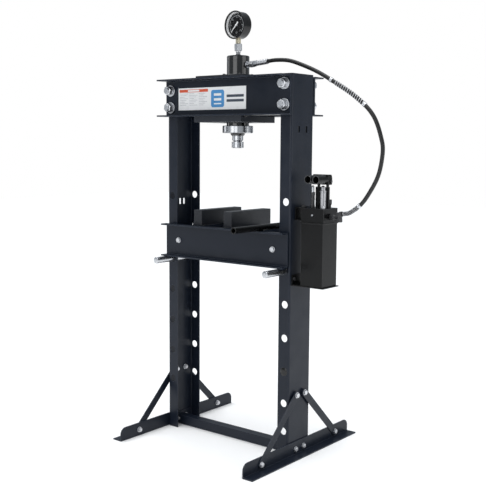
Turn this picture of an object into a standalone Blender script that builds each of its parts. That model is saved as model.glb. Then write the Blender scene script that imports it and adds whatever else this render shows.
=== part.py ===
"""Hydraulic shop press: a bolted H-frame of steel channels with a jack cylinder in its top beam,
a bed that stands on two loose pins, and a two-lever hand pump hung on the right upright.

Metres, +Z up. X runs along the beam, the operator stands at -Y. The origin is the middle of the
footprint at floor level, so the frame's own middle lies a little to the left of it.
"""

import math

import bmesh
import bpy
from mathutils import Matrix, Vector

GAP = 0.0003

# Frame
HALF_WIDTH = 0.330
UPRIGHT_HEIGHT = 1.540
UPRIGHT_DEPTH = 0.150
UPRIGHT_FLANGE = 0.0535
SHEET = 0.005
BEND = 0.008
BED_HOLE_INSET = 0.0245
BED_HOLE_RADIUS = 0.0155
BED_HOLE_HEIGHTS = (1.038, 0.901, 0.764, 0.627, 0.490, 0.353, 0.222)
LOWEST_RIGHT_HOLE = 0.106
PIN_LEVEL = BED_HOLE_HEIGHTS[2]
SLOT_SIZE = (0.013, 0.026)
LEFT_SLOTS = ((-0.001, 1.010), (0.024, 1.010))
RIGHT_SLOTS = ((-0.0235, 1.324), (0.027, 1.324))

# Top beam
BEAM_BOTTOM = 1.378
BEAM_TOP = 1.534
BEAM_WEB = 0.010
BEAM_FLANGE = 0.006
BEAM_DEPTH = 0.070
BEAM_BOLT_X = 0.302
LEFT_BOLT_HEIGHTS = (1.417, 1.489)
RIGHT_BOLT_HEIGHTS = (1.419, 1.501)
BEAM_BOLT_RADIUS = 0.012
BEAM_BOLT_HOLE = 0.0125
NUT_ACROSS_CORNERS = 0.0405
NUT_FACE = 0.0265
BOLT_END = 0.0315
WASHER_RADIUS = 0.024
WASHER_THICK = 0.004
LABEL_LEFT = -0.2566
LABEL_RIGHT = 0.1115
LABEL_BOTTOM = 1.4053
LABEL_TOP = 1.4977
LABEL_THICK = 0.0008

# Plates that carry the cylinder
MOUNT_HALF_X = 0.1245
MOUNT_FRONT = -0.1355
MOUNT_REAR = 0.0915
MOUNT_THICK = 0.025
TOP_PLATE_FRONT = -0.1255
TOP_PLATE_REAR = 0.1155
TOP_PLATE_THICK = 0.008

# Cylinder and ram
CYLINDER_RADIUS = 0.047
CYLINDER_TOP = 1.628
CYLINDER_BOTTOM = 1.3405
FLANGE_RADIUS = 0.070
FLANGE_THICK = 0.006
NECK_RADIUS = 0.038
NECK_BOTTOM = 1.3115
BORE_RADIUS = 0.034
BORE_TOP = 1.578
RING_RADIUS = 0.064
RING_BOTTOM = 1.3095
RING_NOTCHES = 10
NOTCH_DEPTH = 0.006
NOTCH_HALF_WIDTH = 0.007
GLAND_BOTTOM = 1.2985
ROD_RADIUS = 0.023
ROD_NECK_RADIUS = 0.017
TIP_RADIUS = 0.025
TIP_TOP = 1.274
TIP_BOTTOM = 1.2475
PISTON_BOTTOM = 1.540
PORT_HEIGHT = 1.590
PORT_RADIUS = 0.009

# Gauge
GAUGE_HEIGHT = 1.752
GAUGE_RADIUS = 0.0575
GAUGE_BODY_RADIUS = 0.055
GAUGE_DEPTH = 0.050
GAUGE_YAW = math.radians(-5.0)
DIAL_RECESS = 0.016
DIAL_RECESS_RADIUS = 0.0515
NEEDLE_LENGTH = 0.040
NEEDLE_START = math.radians(-45)
STEM_HALF = 0.008
STEM_TOP = GAUGE_HEIGHT - GAUGE_BODY_RADIUS + 0.004
HEX_BOTTOM = 1.6475
HEX_TOP = 1.677

# Bed
BED_HALF = 0.327
BED_HEIGHT = 0.141
BED_WEB_FACE = 0.089
BED_WEB = 0.006
BED_FLANGE_REACH = 0.1255
PIN_RADIUS = 0.014
PIN_LENGTH = 0.330
LEFT_PIN_FRONT = -0.180
RIGHT_PIN_FRONT = -0.208
SPACER_X = 0.254
SPACER_RADIUS = 0.015
BLOCK_WIDTH = 0.042
BLOCK_HEIGHT = 0.066
BLOCK_LENGTH = 0.272
BLOCK_LEFT_X = -0.149
BLOCK_RIGHT_X = 0.0095
HANDLE_X = 0.200
HANDLE_FRONT = -0.271
HANDLE_LENGTH = 0.480
HANDLE_RADIUS = 0.013
HANDLE_BORE = 0.0105

# Feet, braces and crossbar
FOOT_LENGTH = 0.740
FOOT_LEG = 0.0495
FOOT_SHEET = 0.005
FOOT_HEIGHT = 0.057
FOOT_ROUND = 0.028
FOOT_BOLT_Y = 0.028
FOOT_BOLT_HEIGHT = 0.025
BRACE_FOOT_Y = 0.262
BRACE_FOOT_HEIGHT = 0.027
BRACE_TOP_HEIGHT = 0.252
BRACE_WIDTH = 0.032
BRACE_THICK = 0.004
SMALL_BOLT_HOLE = 0.0065
CROSSBAR_LEG = 0.040
CROSSBAR_SHEET = 0.004
CROSSBAR_FRONT = -0.030
CROSSBAR_BOTTOM = 0.002
TAB_HALF_WIDTH = 0.058
TAB_HEIGHT = 0.050

# Pump
TANK_LEFT = 0.370
TANK_RIGHT = 0.472
TANK_FRONT = -0.058
TANK_REAR = 0.043
TANK_BOTTOM = 0.7095
TANK_TOP = 0.962
TANK_SHEET = 0.002
TANK_RIM = 0.003
SHELF_RIGHT = 0.481
SHELF_Y = (-0.064, 0.048)
SHELF_SHEET = 0.004
SHELF_LIP = 0.040
BRACKET_Y = (-0.045, 0.033)
BRACKET_SHEET = 0.003
BLOCK_TOP = 1.018
SMALL_PUMP = (0.397, -0.020, 0.0088, 1.079)
LARGE_PUMP = (0.438, -0.010, 0.0127, 1.087)
SMALL_PLUNGER_RADIUS = 0.006
LARGE_PLUNGER_RADIUS = 0.009
PLUNGER_TOP = 1.1075
LEVER_PIVOT = (0.022, 1.122)
PIVOT_RADIUS = 0.004
SOCKET_AXIS = 1.129
SOCKET_RADIUS = 0.0165
SOCKET_BORE = 0.0135
SOCKET_FRONT = -0.062
SOCKET_REAR = 0.031
SOCKET_BORE_END = -0.006
FORK_FRONT = 0.009
FORK_HALF = 0.0034
TONGUE_WIDTH = 0.008
LINK_HALF = {"small_lever_link": 0.0122, "large_lever_link": 0.0072}
LINK_DEPTH = 0.010
LINK_SHOULDER = 1.099
EYE_HALF = 0.0030
EYE_RADIUS = 0.0075
KNOB = (0.4600, 0.010)
PUMP_PORT = (0.4743, -0.010, 0.985)
ADAPTER_LENGTH = 0.024

# Hose: the route runs from the cylinder's port to the pump's port in an upright plane
HOSE_RADIUS = 0.008
HOSE_ROUTE = (
    (0.155, 1.598),
    (0.190, 1.6005),
    (0.240, 1.598),
    (0.289, 1.588),
    (0.385, 1.552),
    (0.469, 1.509),
    (0.580, 1.443),
    (0.6565, 1.373),
    (0.6945, 1.285),
    (0.7000, 1.228),
    (0.682, 1.146),
    (0.6345, 1.0665),
    (0.603, 1.0330),
    (0.571, 1.0110),
    (0.5534, 1.0025),
    (0.5290, 0.9992),
)
HOSE_POINTS = 40
SLEEVE_RADIUS = 0.0104
ELBOW_X = 0.5155
ELBOW_HEIGHTS = (0.9665, 1.0045)
ELBOW_RADIUS = 0.0135

FOOT_TIP = HALF_WIDTH + FOOT_LEG
CENTRE_SHIFT = (FOOT_TIP - SHELF_RIGHT) / 2

FRAME_BLUE = (0.028, 0.031, 0.042)
BLACK = (0.008, 0.008, 0.009)
ZINC = (0.62, 0.63, 0.65)
CHROME = (0.72, 0.73, 0.75)


def clear_scene():
    for item in list(bpy.data.objects):
        bpy.data.objects.remove(item, do_unlink=True)


def new_collection(name):
    collection = bpy.data.collections.new(name)
    bpy.context.scene.collection.children.link(collection)
    return collection


clear_scene()
PRESS = new_collection("hydraulic_shop_press")
CUTTERS = new_collection("cutters")
CUTTERS.hide_render = True


def material(name, colour, roughness, metallic):
    found = bpy.data.materials.new(name)
    found.use_nodes = True
    shader = found.node_tree.nodes["Principled BSDF"]
    shader.inputs["Base Color"].default_value = (*colour, 1.0)
    shader.inputs["Roughness"].default_value = roughness
    shader.inputs["Metallic"].default_value = metallic
    return found


def frame_paint(name):
    return material(name + "_paint", FRAME_BLUE, 0.38, 0.0)


def black_paint(name):
    return material(name + "_paint", BLACK, 0.30, 0.0)


def zinc(name):
    return material(name + "_zinc", ZINC, 0.32, 1.0)


def chrome(name):
    return material(name + "_chrome", CHROME, 0.14, 1.0)


def steel(name):
    return material(name + "_steel", (0.32, 0.32, 0.34), 0.4, 1.0)


def add_object(name, mesh, look, collection=PRESS):
    item = bpy.data.objects.new(name, mesh)
    collection.objects.link(item)
    if look:
        mesh.materials.append(look)
    return item


def mesh_object(name, bm, look, collection=PRESS):
    bmesh.ops.recalc_face_normals(bm, faces=bm.faces)
    mesh = bpy.data.meshes.new(name)
    bm.to_mesh(mesh)
    bm.free()
    return add_object(name, mesh, look, collection)


def box(name, x_range, y_range, z_range, look=None, collection=PRESS):
    bm = bmesh.new()
    bmesh.ops.create_cube(bm, size=1.0)
    low = Vector((x_range[0], y_range[0], z_range[0]))
    high = Vector((x_range[1], y_range[1], z_range[1]))
    bmesh.ops.scale(bm, vec=high - low, verts=bm.verts)
    bmesh.ops.translate(bm, vec=(low + high) / 2, verts=bm.verts)
    return mesh_object(name, bm, look, collection)


def along(direction):
    """Turns local +Z to the given direction."""
    return Vector((0, 0, 1)).rotation_difference(Vector(direction)).to_matrix().to_4x4()


def rod(name, start, end, radius, look=None, sides=24, collection=PRESS):
    start, end = Vector(start), Vector(end)
    bm = bmesh.new()
    bmesh.ops.create_cone(
        bm,
        cap_ends=True,
        segments=sides,
        radius1=radius,
        radius2=radius,
        depth=(end - start).length,
    )
    place = Matrix.Translation((start + end) / 2) @ along(end - start)
    bmesh.ops.transform(bm, matrix=place, verts=bm.verts)
    item = mesh_object(name, bm, look, collection)
    if look:
        item.data.shade_smooth()
        item.data.set_sharp_from_angle(angle=math.radians(35))
    return item


def turned(name, profile, look=None, sides=28, collection=PRESS, place=None):
    """Turns an outline of (radius, height) points that runs down its outer side."""
    bm = bmesh.new()
    points = [bm.verts.new((radius, 0.0, height)) for radius, height in profile]
    for first, second in zip(points, points[1:] + points[:1]):
        if first.co.x > 1e-6 or second.co.x > 1e-6:
            bm.edges.new((first, second))
    mesh = bpy.data.meshes.new(name)
    bm.to_mesh(mesh)
    bm.free()
    item = add_object(name, mesh, look, collection)
    screw = item.modifiers.new("turn", "SCREW")
    screw.steps = sides
    screw.render_steps = sides
    screw.use_merge_vertices = True
    screw.merge_threshold = 1e-5
    settle(item)
    if place is not None:
        item.data.transform(place)
    if look:
        item.data.shade_smooth()
        item.data.set_sharp_from_angle(angle=math.radians(35))
    return item


def settle(item):
    """Replaces an object's mesh by what its modifiers make of it."""
    bpy.context.view_layer.update()
    graph = bpy.context.evaluated_depsgraph_get()
    mesh = bpy.data.meshes.new_from_object(item.evaluated_get(graph))
    item.modifiers.clear()
    item.data = mesh
    bm = bmesh.new()
    bm.from_mesh(mesh)
    bmesh.ops.remove_doubles(bm, verts=bm.verts, dist=1e-5)
    bmesh.ops.recalc_face_normals(bm, faces=bm.faces)
    bm.to_mesh(mesh)
    bm.free()


def outline_solid(name, points, depth, place, look=None, collection=PRESS):
    """A flat outline in local XY given a thickness along local Z, centred, then placed."""
    curve = bpy.data.curves.new(name, "CURVE")
    curve.dimensions = "2D"
    curve.fill_mode = "BOTH"
    curve.extrude = depth / 2
    spline = curve.splines.new("POLY")
    spline.points.add(len(points) - 1)
    for point, (x, y) in zip(spline.points, points):
        point.co = (x, y, 0.0, 1.0)
    spline.use_cyclic_u = True
    item = add_object(name, curve, None, collection)
    bpy.context.view_layer.update()
    graph = bpy.context.evaluated_depsgraph_get()
    mesh = bpy.data.meshes.new_from_object(item.evaluated_get(graph))
    bpy.data.objects.remove(item, do_unlink=True)
    bm = bmesh.new()
    bm.from_mesh(mesh)
    bmesh.ops.remove_doubles(bm, verts=bm.verts, dist=1e-6)
    bmesh.ops.transform(bm, matrix=place, verts=bm.verts)
    return mesh_object(name, bm, look, collection)


def boolean(item, tool, operation):
    tool.hide_render = True
    tool.display_type = "WIRE"
    modifier = item.modifiers.new(operation.lower(), "BOOLEAN")
    modifier.operation = operation
    modifier.object = tool
    modifier.solver = "EXACT"
    settle(item)
    bpy.data.objects.remove(tool, do_unlink=True)


def cut(item, tools):
    """Cuts by all the tools at once; they stay clear of each other."""
    bm = bmesh.new()
    for tool in tools:
        bm.from_mesh(tool.data)
        bpy.data.objects.remove(tool, do_unlink=True)
    boolean(item, mesh_object("cutter", bm, None, CUTTERS), "DIFFERENCE")


def join(item, tools):
    for tool in tools:
        boolean(item, tool, "UNION")


def arc(centre, radius, start, end, steps):
    """Points of an arc, angles in degrees."""
    found = []
    for step in range(steps + 1):
        angle = math.radians(start + (end - start) * step / steps)
        found.append((centre[0] + radius * math.cos(angle), centre[1] + radius * math.sin(angle)))
    return found


def channel_outline(width, flange, sheet, web=None):
    """A C-section with its web along local X = 0 and its flanges running to +X."""
    web = web or sheet
    outer, inner = BEND, max(BEND - sheet, 0.002)
    half = width / 2
    points = [(flange, -half)]
    points += [(flange, -half + sheet)]
    points += list(reversed(arc((web + inner, -half + sheet + inner), inner, 180, 270, 3)))
    points += list(reversed(arc((web + inner, half - sheet - inner), inner, 90, 180, 3)))
    points += [(flange, half - sheet), (flange, half)]
    points += arc((outer, half - outer), outer, 90, 180, 3)
    points += arc((outer, -half + outer), outer, 180, 270, 3)
    return points


def placed(x_axis, y_axis, origin):
    """A frame whose local X and Y point along the given directions."""
    x_axis, y_axis = Vector(x_axis), Vector(y_axis)
    matrix = Matrix((x_axis, y_axis, x_axis.cross(y_axis))).transposed().to_4x4()
    return Matrix.Translation(origin) @ matrix


def hole(axis, centre, radius, length, sides=16):
    half = Vector(axis) * length / 2
    centre = Vector(centre)
    return rod("hole", centre - half, centre + half, radius, sides=sides, collection=CUTTERS)


def box_cutter(x_range, y_range, z_range):
    return box("cutter_box", x_range, y_range, z_range, collection=CUTTERS)


def small_bolt_holes(x, places):
    return [hole((1, 0, 0), (x, y, z), SMALL_BOLT_HOLE, 0.04, sides=8) for y, z in places]


def upright(name, side):
    outline = channel_outline(UPRIGHT_DEPTH, UPRIGHT_FLANGE, SHEET)
    place = placed((-side, 0, 0), (0, 1, 0), (side * HALF_WIDTH, 0, UPRIGHT_HEIGHT / 2))
    item = outline_solid(name, outline, UPRIGHT_HEIGHT, place, frame_paint(name))
    tools = []
    heights = BED_HOLE_HEIGHTS + ((LOWEST_RIGHT_HOLE,) if side > 0 else ())
    for height in heights:
        centre = (side * (HALF_WIDTH - BED_HOLE_INSET), 0, height)
        tools.append(hole((0, 1, 0), centre, BED_HOLE_RADIUS, 0.2))
    for height in RIGHT_BOLT_HEIGHTS if side > 0 else LEFT_BOLT_HEIGHTS:
        tools.append(hole((0, 1, 0), (side * BEAM_BOLT_X, 0, height), BEAM_BOLT_HOLE, 0.2, sides=12))
    across, high = SLOT_SIZE
    for y, z in RIGHT_SLOTS if side > 0 else LEFT_SLOTS:
        x_range = (side * HALF_WIDTH - 0.02, side * HALF_WIDTH + 0.02)
        y_range = (y - across / 2, y + across / 2)
        tools.append(box_cutter(x_range, y_range, (z - high / 2, z + high / 2)))
    lower = [(y, FOOT_BOLT_HEIGHT) for y in (-FOOT_BOLT_Y, FOOT_BOLT_Y)]
    upper = [(y, BRACE_TOP_HEIGHT) for y in (-FOOT_BOLT_Y, FOOT_BOLT_Y)]
    tools += small_bolt_holes(side * HALF_WIDTH, lower + upper)
    cut(item, tools)


def top_channel(name, side):
    """side is -1 for the front channel and 1 for the rear one; the flanges point away from the frame."""
    height = BEAM_TOP - BEAM_BOTTOM
    outline = channel_outline(height, BEAM_DEPTH, BEAM_FLANGE, BEAM_WEB)
    start = side * (UPRIGHT_DEPTH / 2 + GAP)
    place = placed((0, side, 0), (0, 0, 1), (0, start, (BEAM_TOP + BEAM_BOTTOM) / 2))
    item = outline_solid(name, outline, 2 * HALF_WIDTH, place, frame_paint(name))
    tools = []
    for x, heights in ((-BEAM_BOLT_X, LEFT_BOLT_HEIGHTS), (BEAM_BOLT_X, RIGHT_BOLT_HEIGHTS)):
        for z in heights:
            tools.append(hole((0, 1, 0), (x, start, z), BEAM_BOLT_HOLE, 0.06, sides=12))
    cut(item, tools)


def beam_bolt(name, x, side, z):
    """A bolt with its head inside the upright and a washer and nut against the beam's web."""
    web_face = UPRIGHT_DEPTH / 2 + GAP + BEAM_WEB + GAP
    inner_face = UPRIGHT_DEPTH / 2 - SHEET - GAP
    nut_radius = NUT_ACROSS_CORNERS / 2

    def stretch(label, near, far, radius, sides, look=None):
        return rod(label, (x, side * near, z), (x, side * far, z), radius, look, sides)

    item = stretch(name, inner_face, web_face + 0.002, BEAM_BOLT_RADIUS, 12, zinc(name))
    tools = [
        stretch("head", inner_face - 0.014, inner_face, nut_radius, 6),
        stretch("washer", web_face, web_face + WASHER_THICK, WASHER_RADIUS, 20),
        stretch("nut", web_face + WASHER_THICK - 0.001, web_face + NUT_FACE, nut_radius, 6),
        stretch("end", web_face + NUT_FACE - 0.005, web_face + BOLT_END, BEAM_BOLT_RADIUS + 0.0002, 12),
    ]
    join(item, tools)


def beam_bolts():
    for side, place in ((-1, "front"), (1, "rear")):
        for z, level in zip(LEFT_BOLT_HEIGHTS, ("lower", "upper")):
            beam_bolt(f"beam_bolt_{place}_left_{level}", -BEAM_BOLT_X, side, z)
        for z, level in zip(RIGHT_BOLT_HEIGHTS, ("lower", "upper")):
            beam_bolt(f"beam_bolt_{place}_right_{level}", BEAM_BOLT_X, side, z)


def cylinder_plates():
    top = box(
        "top_plate",
        (-MOUNT_HALF_X, MOUNT_HALF_X),
        (TOP_PLATE_FRONT, TOP_PLATE_REAR),
        (BEAM_TOP + GAP, BEAM_TOP + GAP + TOP_PLATE_THICK),
        frame_paint("top_plate"),
    )
    mount = box(
        "ram_mount_plate",
        (-MOUNT_HALF_X, MOUNT_HALF_X),
        (MOUNT_FRONT, MOUNT_REAR),
        (BEAM_BOTTOM - GAP - MOUNT_THICK, BEAM_BOTTOM - GAP),
        frame_paint("ram_mount_plate"),
    )
    for plate, height in ((top, BEAM_TOP), (mount, BEAM_BOTTOM)):
        cut(plate, [hole((0, 0, 1), (0, 0, height), CYLINDER_RADIUS + GAP, 0.1, sides=36)])


def label_plate():
    front = -(UPRIGHT_DEPTH / 2 + GAP + BEAM_WEB + GAP)
    box(
        "label_plate",
        (LABEL_LEFT, LABEL_RIGHT),
        (front - LABEL_THICK, front),
        (LABEL_BOTTOM, LABEL_TOP),
        material("label_white", (0.8, 0.8, 0.8), 0.4, 0.0),
    )


def cylinder():
    edge = 0.003
    radius = CYLINDER_RADIUS
    flange_bottom = BEAM_TOP + GAP + TOP_PLATE_THICK + GAP
    flange_top = flange_bottom + FLANGE_THICK
    profile = [
        (0.0, CYLINDER_TOP),
        (radius - edge, CYLINDER_TOP),
        (radius, CYLINDER_TOP - edge),
        (radius, flange_top),
        (FLANGE_RADIUS - 0.001, flange_top),
        (FLANGE_RADIUS, flange_top - 0.001),
        (FLANGE_RADIUS, flange_bottom),
        (radius, flange_bottom),
        (radius, CYLINDER_BOTTOM),
        (NECK_RADIUS, CYLINDER_BOTTOM),
        (NECK_RADIUS, NECK_BOTTOM),
        (BORE_RADIUS, NECK_BOTTOM),
        (BORE_RADIUS, BORE_TOP),
        (0.0, BORE_TOP),
    ]
    body = turned("cylinder_body", profile, black_paint("cylinder"), sides=36)
    cut(
        body,
        [
            hole((1, 0, 0), (0.070, 0, PORT_HEIGHT), PORT_RADIUS, 0.1),
            hole((0, 0, 1), (0, 0, CYLINDER_TOP), 0.0083, 0.12),
        ],
    )
    body.data.shade_smooth()
    body.data.set_sharp_from_angle(angle=math.radians(35))


def lock_ring():
    top = CYLINDER_BOTTOM - GAP
    edge = 0.0025
    profile = [
        (RING_RADIUS - edge, top),
        (RING_RADIUS, top - edge),
        (RING_RADIUS, RING_BOTTOM + edge),
        (RING_RADIUS - edge, RING_BOTTOM),
        (NECK_RADIUS + GAP, RING_BOTTOM),
        (NECK_RADIUS + GAP, top),
    ]
    ring = turned("cylinder_lock_ring", profile, chrome("lock_ring"), sides=40)
    tools = []
    for index in range(RING_NOTCHES):
        angle = 2 * math.pi * (index + 0.35) / RING_NOTCHES
        notch = box_cutter(
            (RING_RADIUS - NOTCH_DEPTH, RING_RADIUS + 0.02),
            (-NOTCH_HALF_WIDTH, NOTCH_HALF_WIDTH),
            (RING_BOTTOM - 0.01, top + 0.01),
        )
        notch.data.transform(Matrix.Rotation(angle, 4, "Z"))
        tools.append(notch)
    cut(ring, tools)


def gland():
    """The wiper nut under the ring, seen as a short black cone round the rod."""
    clear = ROD_RADIUS + 0.0005
    seat = BORE_RADIUS - GAP
    profile = [
        (seat, CYLINDER_BOTTOM),
        (seat, NECK_BOTTOM),
        (0.0300, NECK_BOTTOM - 0.003),
        (0.0300, GLAND_BOTTOM + 0.008),
        (0.0265, GLAND_BOTTOM),
        (clear, GLAND_BOTTOM),
        (clear, CYLINDER_BOTTOM),
    ]
    turned("cylinder_gland", profile, black_paint("gland"))


def ram():
    piston = BORE_RADIUS - 0.0005
    rod_profile = [
        (0.0, BORE_TOP - 0.004),
        (piston, BORE_TOP - 0.004),
        (piston, PISTON_BOTTOM),
        (ROD_RADIUS, PISTON_BOTTOM),
        (ROD_RADIUS, TIP_TOP + 0.005),
        (ROD_NECK_RADIUS, TIP_TOP + 0.002),
        (ROD_NECK_RADIUS, TIP_TOP - 0.015),
        (0.0, TIP_TOP - 0.015),
    ]
    turned("ram_rod", rod_profile, chrome("ram_rod"), sides=28)
    tip_profile = [
        (TIP_RADIUS - 0.001, TIP_TOP),
        (TIP_RADIUS, TIP_TOP - 0.001),
        (TIP_RADIUS, TIP_BOTTOM + 0.0015),
        (TIP_RADIUS - 0.0015, TIP_BOTTOM),
        (0.0, TIP_BOTTOM),
        (0.0, TIP_TOP - 0.015 - GAP),
        (ROD_NECK_RADIUS + GAP, TIP_TOP - 0.015 - GAP),
        (ROD_NECK_RADIUS + GAP, TIP_TOP),
    ]
    turned("ram_tip", tip_profile, chrome("ram_tip"), sides=28)


def gauge_place():
    """Local +Z of the turned gauge pieces looks out of the dial."""
    out = Matrix.Rotation(math.radians(90), 4, "X")
    return Matrix.Translation((0, 0, GAUGE_HEIGHT)) @ Matrix.Rotation(GAUGE_YAW, 4, "Z") @ out


def gauge():
    front = GAUGE_DEPTH / 2
    place = gauge_place()
    case_profile = [
        (GAUGE_RADIUS, front),
        (GAUGE_RADIUS, front - 0.006),
        (GAUGE_BODY_RADIUS, front - 0.008),
        (GAUGE_BODY_RADIUS, -front + 0.004),
        (GAUGE_BODY_RADIUS - 0.004, -front),
        (0.0, -front),
        (0.0, front - DIAL_RECESS),
        (DIAL_RECESS_RADIUS, front - DIAL_RECESS),
        (DIAL_RECESS_RADIUS, front),
    ]
    case = turned("gauge_case", case_profile, black_paint("gauge"), sides=40, place=place)
    dial_radius = DIAL_RECESS_RADIUS - 0.001
    dial_profile = [(0.0, 0.0015), (dial_radius, 0.0015), (dial_radius, 0.0), (0.0, 0.0)]
    dial_place = place @ Matrix.Translation((0, 0, front - DIAL_RECESS + GAP))
    dial_black = material("dial_black", (0.012, 0.012, 0.014), 0.5, 0.0)
    turned("gauge_dial", dial_profile, dial_black, place=dial_place)
    glass = material("gauge_glass", (0.9, 0.9, 0.9), 0.05, 0.0)
    glass.node_tree.nodes["Principled BSDF"].inputs["Alpha"].default_value = 0.12
    lens_radius = DIAL_RECESS_RADIUS - 0.0007
    lens_profile = [(0.0, 0.002), (lens_radius, 0.002), (lens_radius, 0.0), (0.0, 0.0)]
    turned("gauge_lens", lens_profile, glass, place=place @ Matrix.Translation((0, 0, front - 0.0045)))


def gauge_stem():
    """The square shank of the gauge's socket, let into the case from below."""
    yaw = Matrix.Rotation(GAUGE_YAW, 4, "Z")
    half = STEM_HALF
    brass = material("brass", (0.75, 0.55, 0.22), 0.3, 1.0)
    stem = box("gauge_stem", (-half, half), (-half, half), (HEX_TOP + GAP, STEM_TOP), brass)
    stem.data.transform(yaw)
    half += GAP
    pocket = box_cutter((-half, half), (-half, half), (HEX_TOP, STEM_TOP + GAP))
    pocket.data.transform(yaw)
    cut(bpy.data.objects["gauge_case"], [pocket])


def gauge_needle():
    """Lies over the dial and points to the scale's start."""
    lift = GAUGE_DEPTH / 2 - 0.0105
    outline = [(-0.0022, 0.0), (-0.0028, 0.010)]
    outline += arc((0, 0.013), 0.0042, 150, 30, 4)
    outline += [(0.0028, 0.010), (0.0022, 0.0), (0.0008, -NEEDLE_LENGTH), (-0.0008, -NEEDLE_LENGTH)]
    base = gauge_place() @ Matrix.Translation((0, 0, lift))
    white = material("needle_white", (0.85, 0.85, 0.85), 0.4, 0.0)
    place = base @ Matrix.Rotation(NEEDLE_START, 4, "Z")
    needle = outline_solid("gauge_needle", outline, 0.001, place, white)
    hub_profile = [(0.0, 0.0012), (0.004, 0.0012), (0.004, -0.0035), (0.0, -0.0035)]
    join(needle, [turned("hub", hub_profile, sides=20, place=base)])


def gauge_adapter():
    """The hex body that the gauge screws into, with its threaded neck down into the cylinder."""
    neck_bottom = CYLINDER_TOP - 0.018
    item = turned(
        "gauge_adapter",
        [
            (0.0, HEX_BOTTOM + 0.004),
            (0.0105, HEX_BOTTOM + 0.004),
            (0.0105, HEX_BOTTOM - 0.006),
            (0.008, HEX_BOTTOM - 0.010),
            (0.008, neck_bottom),
            (0.0, neck_bottom),
        ],
        zinc("gauge_adapter"),
        sides=24,
    )
    join(item, [rod("hexagon", (0, 0, HEX_BOTTOM), (0, 0, HEX_TOP), 0.0165, sides=6)])


def bed_channel(name, side):
    bottom = PIN_LEVEL - BED_HOLE_RADIUS + GAP + 2 * PIN_RADIUS + GAP
    flange = BED_FLANGE_REACH - BED_WEB_FACE + BED_WEB
    outline = channel_outline(BED_HEIGHT, flange, BED_WEB)
    middle = bottom + BED_HEIGHT / 2
    place = placed((0, side, 0), (0, 0, 1), (0, side * (BED_WEB_FACE - BED_WEB), middle))
    item = outline_solid(name, outline, 2 * BED_HALF, place, frame_paint(name))
    tools = []
    for x in (-SPACER_X, SPACER_X):
        tools.append(hole((0, 1, 0), (x, side * BED_WEB_FACE, middle), SMALL_BOLT_HOLE, 0.06, sides=12))
    cut(item, tools)
    return bottom


def bed_spacer(name, x, height):
    """A tube between the bed's webs with the bolt through it."""
    inner = BED_WEB_FACE - BED_WEB - GAP
    outer = BED_WEB_FACE + GAP

    def stretch(label, start, end, radius, sides, look=None):
        return rod(label, (x, start, height), (x, end, height), radius, look, sides)

    item = stretch(name, -inner, inner, SPACER_RADIUS, 16, steel(name))
    tools = [stretch("bolt", -outer - 0.004, outer + 0.004, 0.006, 8)]
    for side in (-1, 1):
        tools.append(stretch("washer", side * outer, side * (outer + 0.002), 0.012, 16))
        tools.append(stretch("head", side * (outer + 0.0015), side * (outer + 0.009), 0.0105, 6))
    join(item, tools)


def bed_pin(name, side, front):
    height = PIN_LEVEL - BED_HOLE_RADIUS + GAP + PIN_RADIUS
    edge = 0.002
    profile = [
        (0.0, PIN_LENGTH),
        (PIN_RADIUS - edge, PIN_LENGTH),
        (PIN_RADIUS, PIN_LENGTH - edge),
        (PIN_RADIUS, edge),
        (PIN_RADIUS - edge, 0.0),
        (0.0, 0.0),
    ]
    x = side * (HALF_WIDTH - BED_HOLE_INSET)
    place = Matrix.Translation((x, front, height)) @ along((0, 1, 0))
    turned(name, profile, chrome(name), sides=24, place=place)


def bed():
    bottom = bed_channel("front_bed_channel", -1)
    bed_channel("rear_bed_channel", 1)
    bed_spacer("left_bed_spacer", -SPACER_X, bottom + BED_HEIGHT / 2)
    bed_spacer("right_bed_spacer", SPACER_X, bottom + BED_HEIGHT / 2)
    bed_pin("left_bed_pin", -1, LEFT_PIN_FRONT)
    bed_pin("right_bed_pin", 1, RIGHT_PIN_FRONT)
    return bottom + BED_HEIGHT + GAP


def softened(item, width, segments=2):
    bevel = item.modifiers.new("edges", "BEVEL")
    bevel.width = width
    bevel.segments = segments
    bevel.limit_method = "ANGLE"
    settle(item)


def press_block(name, middle, front, floor):
    item = box(
        name,
        (middle - BLOCK_WIDTH / 2, middle + BLOCK_WIDTH / 2),
        (front, front + BLOCK_LENGTH),
        (floor, floor + BLOCK_HEIGHT),
        frame_paint(name),
    )
    softened(item, 0.0015)


def pump_handle(floor):
    start = Vector((HANDLE_X, HANDLE_FRONT, floor + HANDLE_RADIUS))
    end = start + Vector((0, HANDLE_LENGTH, 0))
    item = rod("pump_handle", start, end, HANDLE_RADIUS, black_paint("pump_handle"), 24)
    cut(item, [hole((0, 1, 0), (start + end) / 2, HANDLE_BORE, HANDLE_LENGTH + 0.02, sides=24)])


def foot(name, side):
    """An angle along Y: its upright leg has rounded top corners, its flat leg points outward."""
    inner = side * (HALF_WIDTH + GAP)
    half = FOOT_LENGTH / 2
    top = FOOT_HEIGHT
    outline = [(-half, 0.0), (half, 0.0)]
    outline += arc((half - FOOT_ROUND, top - FOOT_ROUND), FOOT_ROUND, 0, 90, 6)
    outline += arc((-half + FOOT_ROUND, top - FOOT_ROUND), FOOT_ROUND, 90, 180, 6)
    place = placed((0, 1, 0), (0, 0, 1), (inner + side * FOOT_SHEET / 2, 0, 0))
    item = outline_solid(name, outline, FOOT_SHEET, place, frame_paint(name))
    x_range = sorted((inner + side * 0.001, side * FOOT_TIP))
    leg = box("leg", x_range, (-half, half), (0.0, FOOT_SHEET))
    join(item, [leg])
    places = [(y, FOOT_BOLT_HEIGHT) for y in (-FOOT_BOLT_Y, FOOT_BOLT_Y)]
    places += [(y, BRACE_FOOT_HEIGHT) for y in (-BRACE_FOOT_Y, BRACE_FOOT_Y)]
    cut(item, small_bolt_holes(inner, places))


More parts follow.
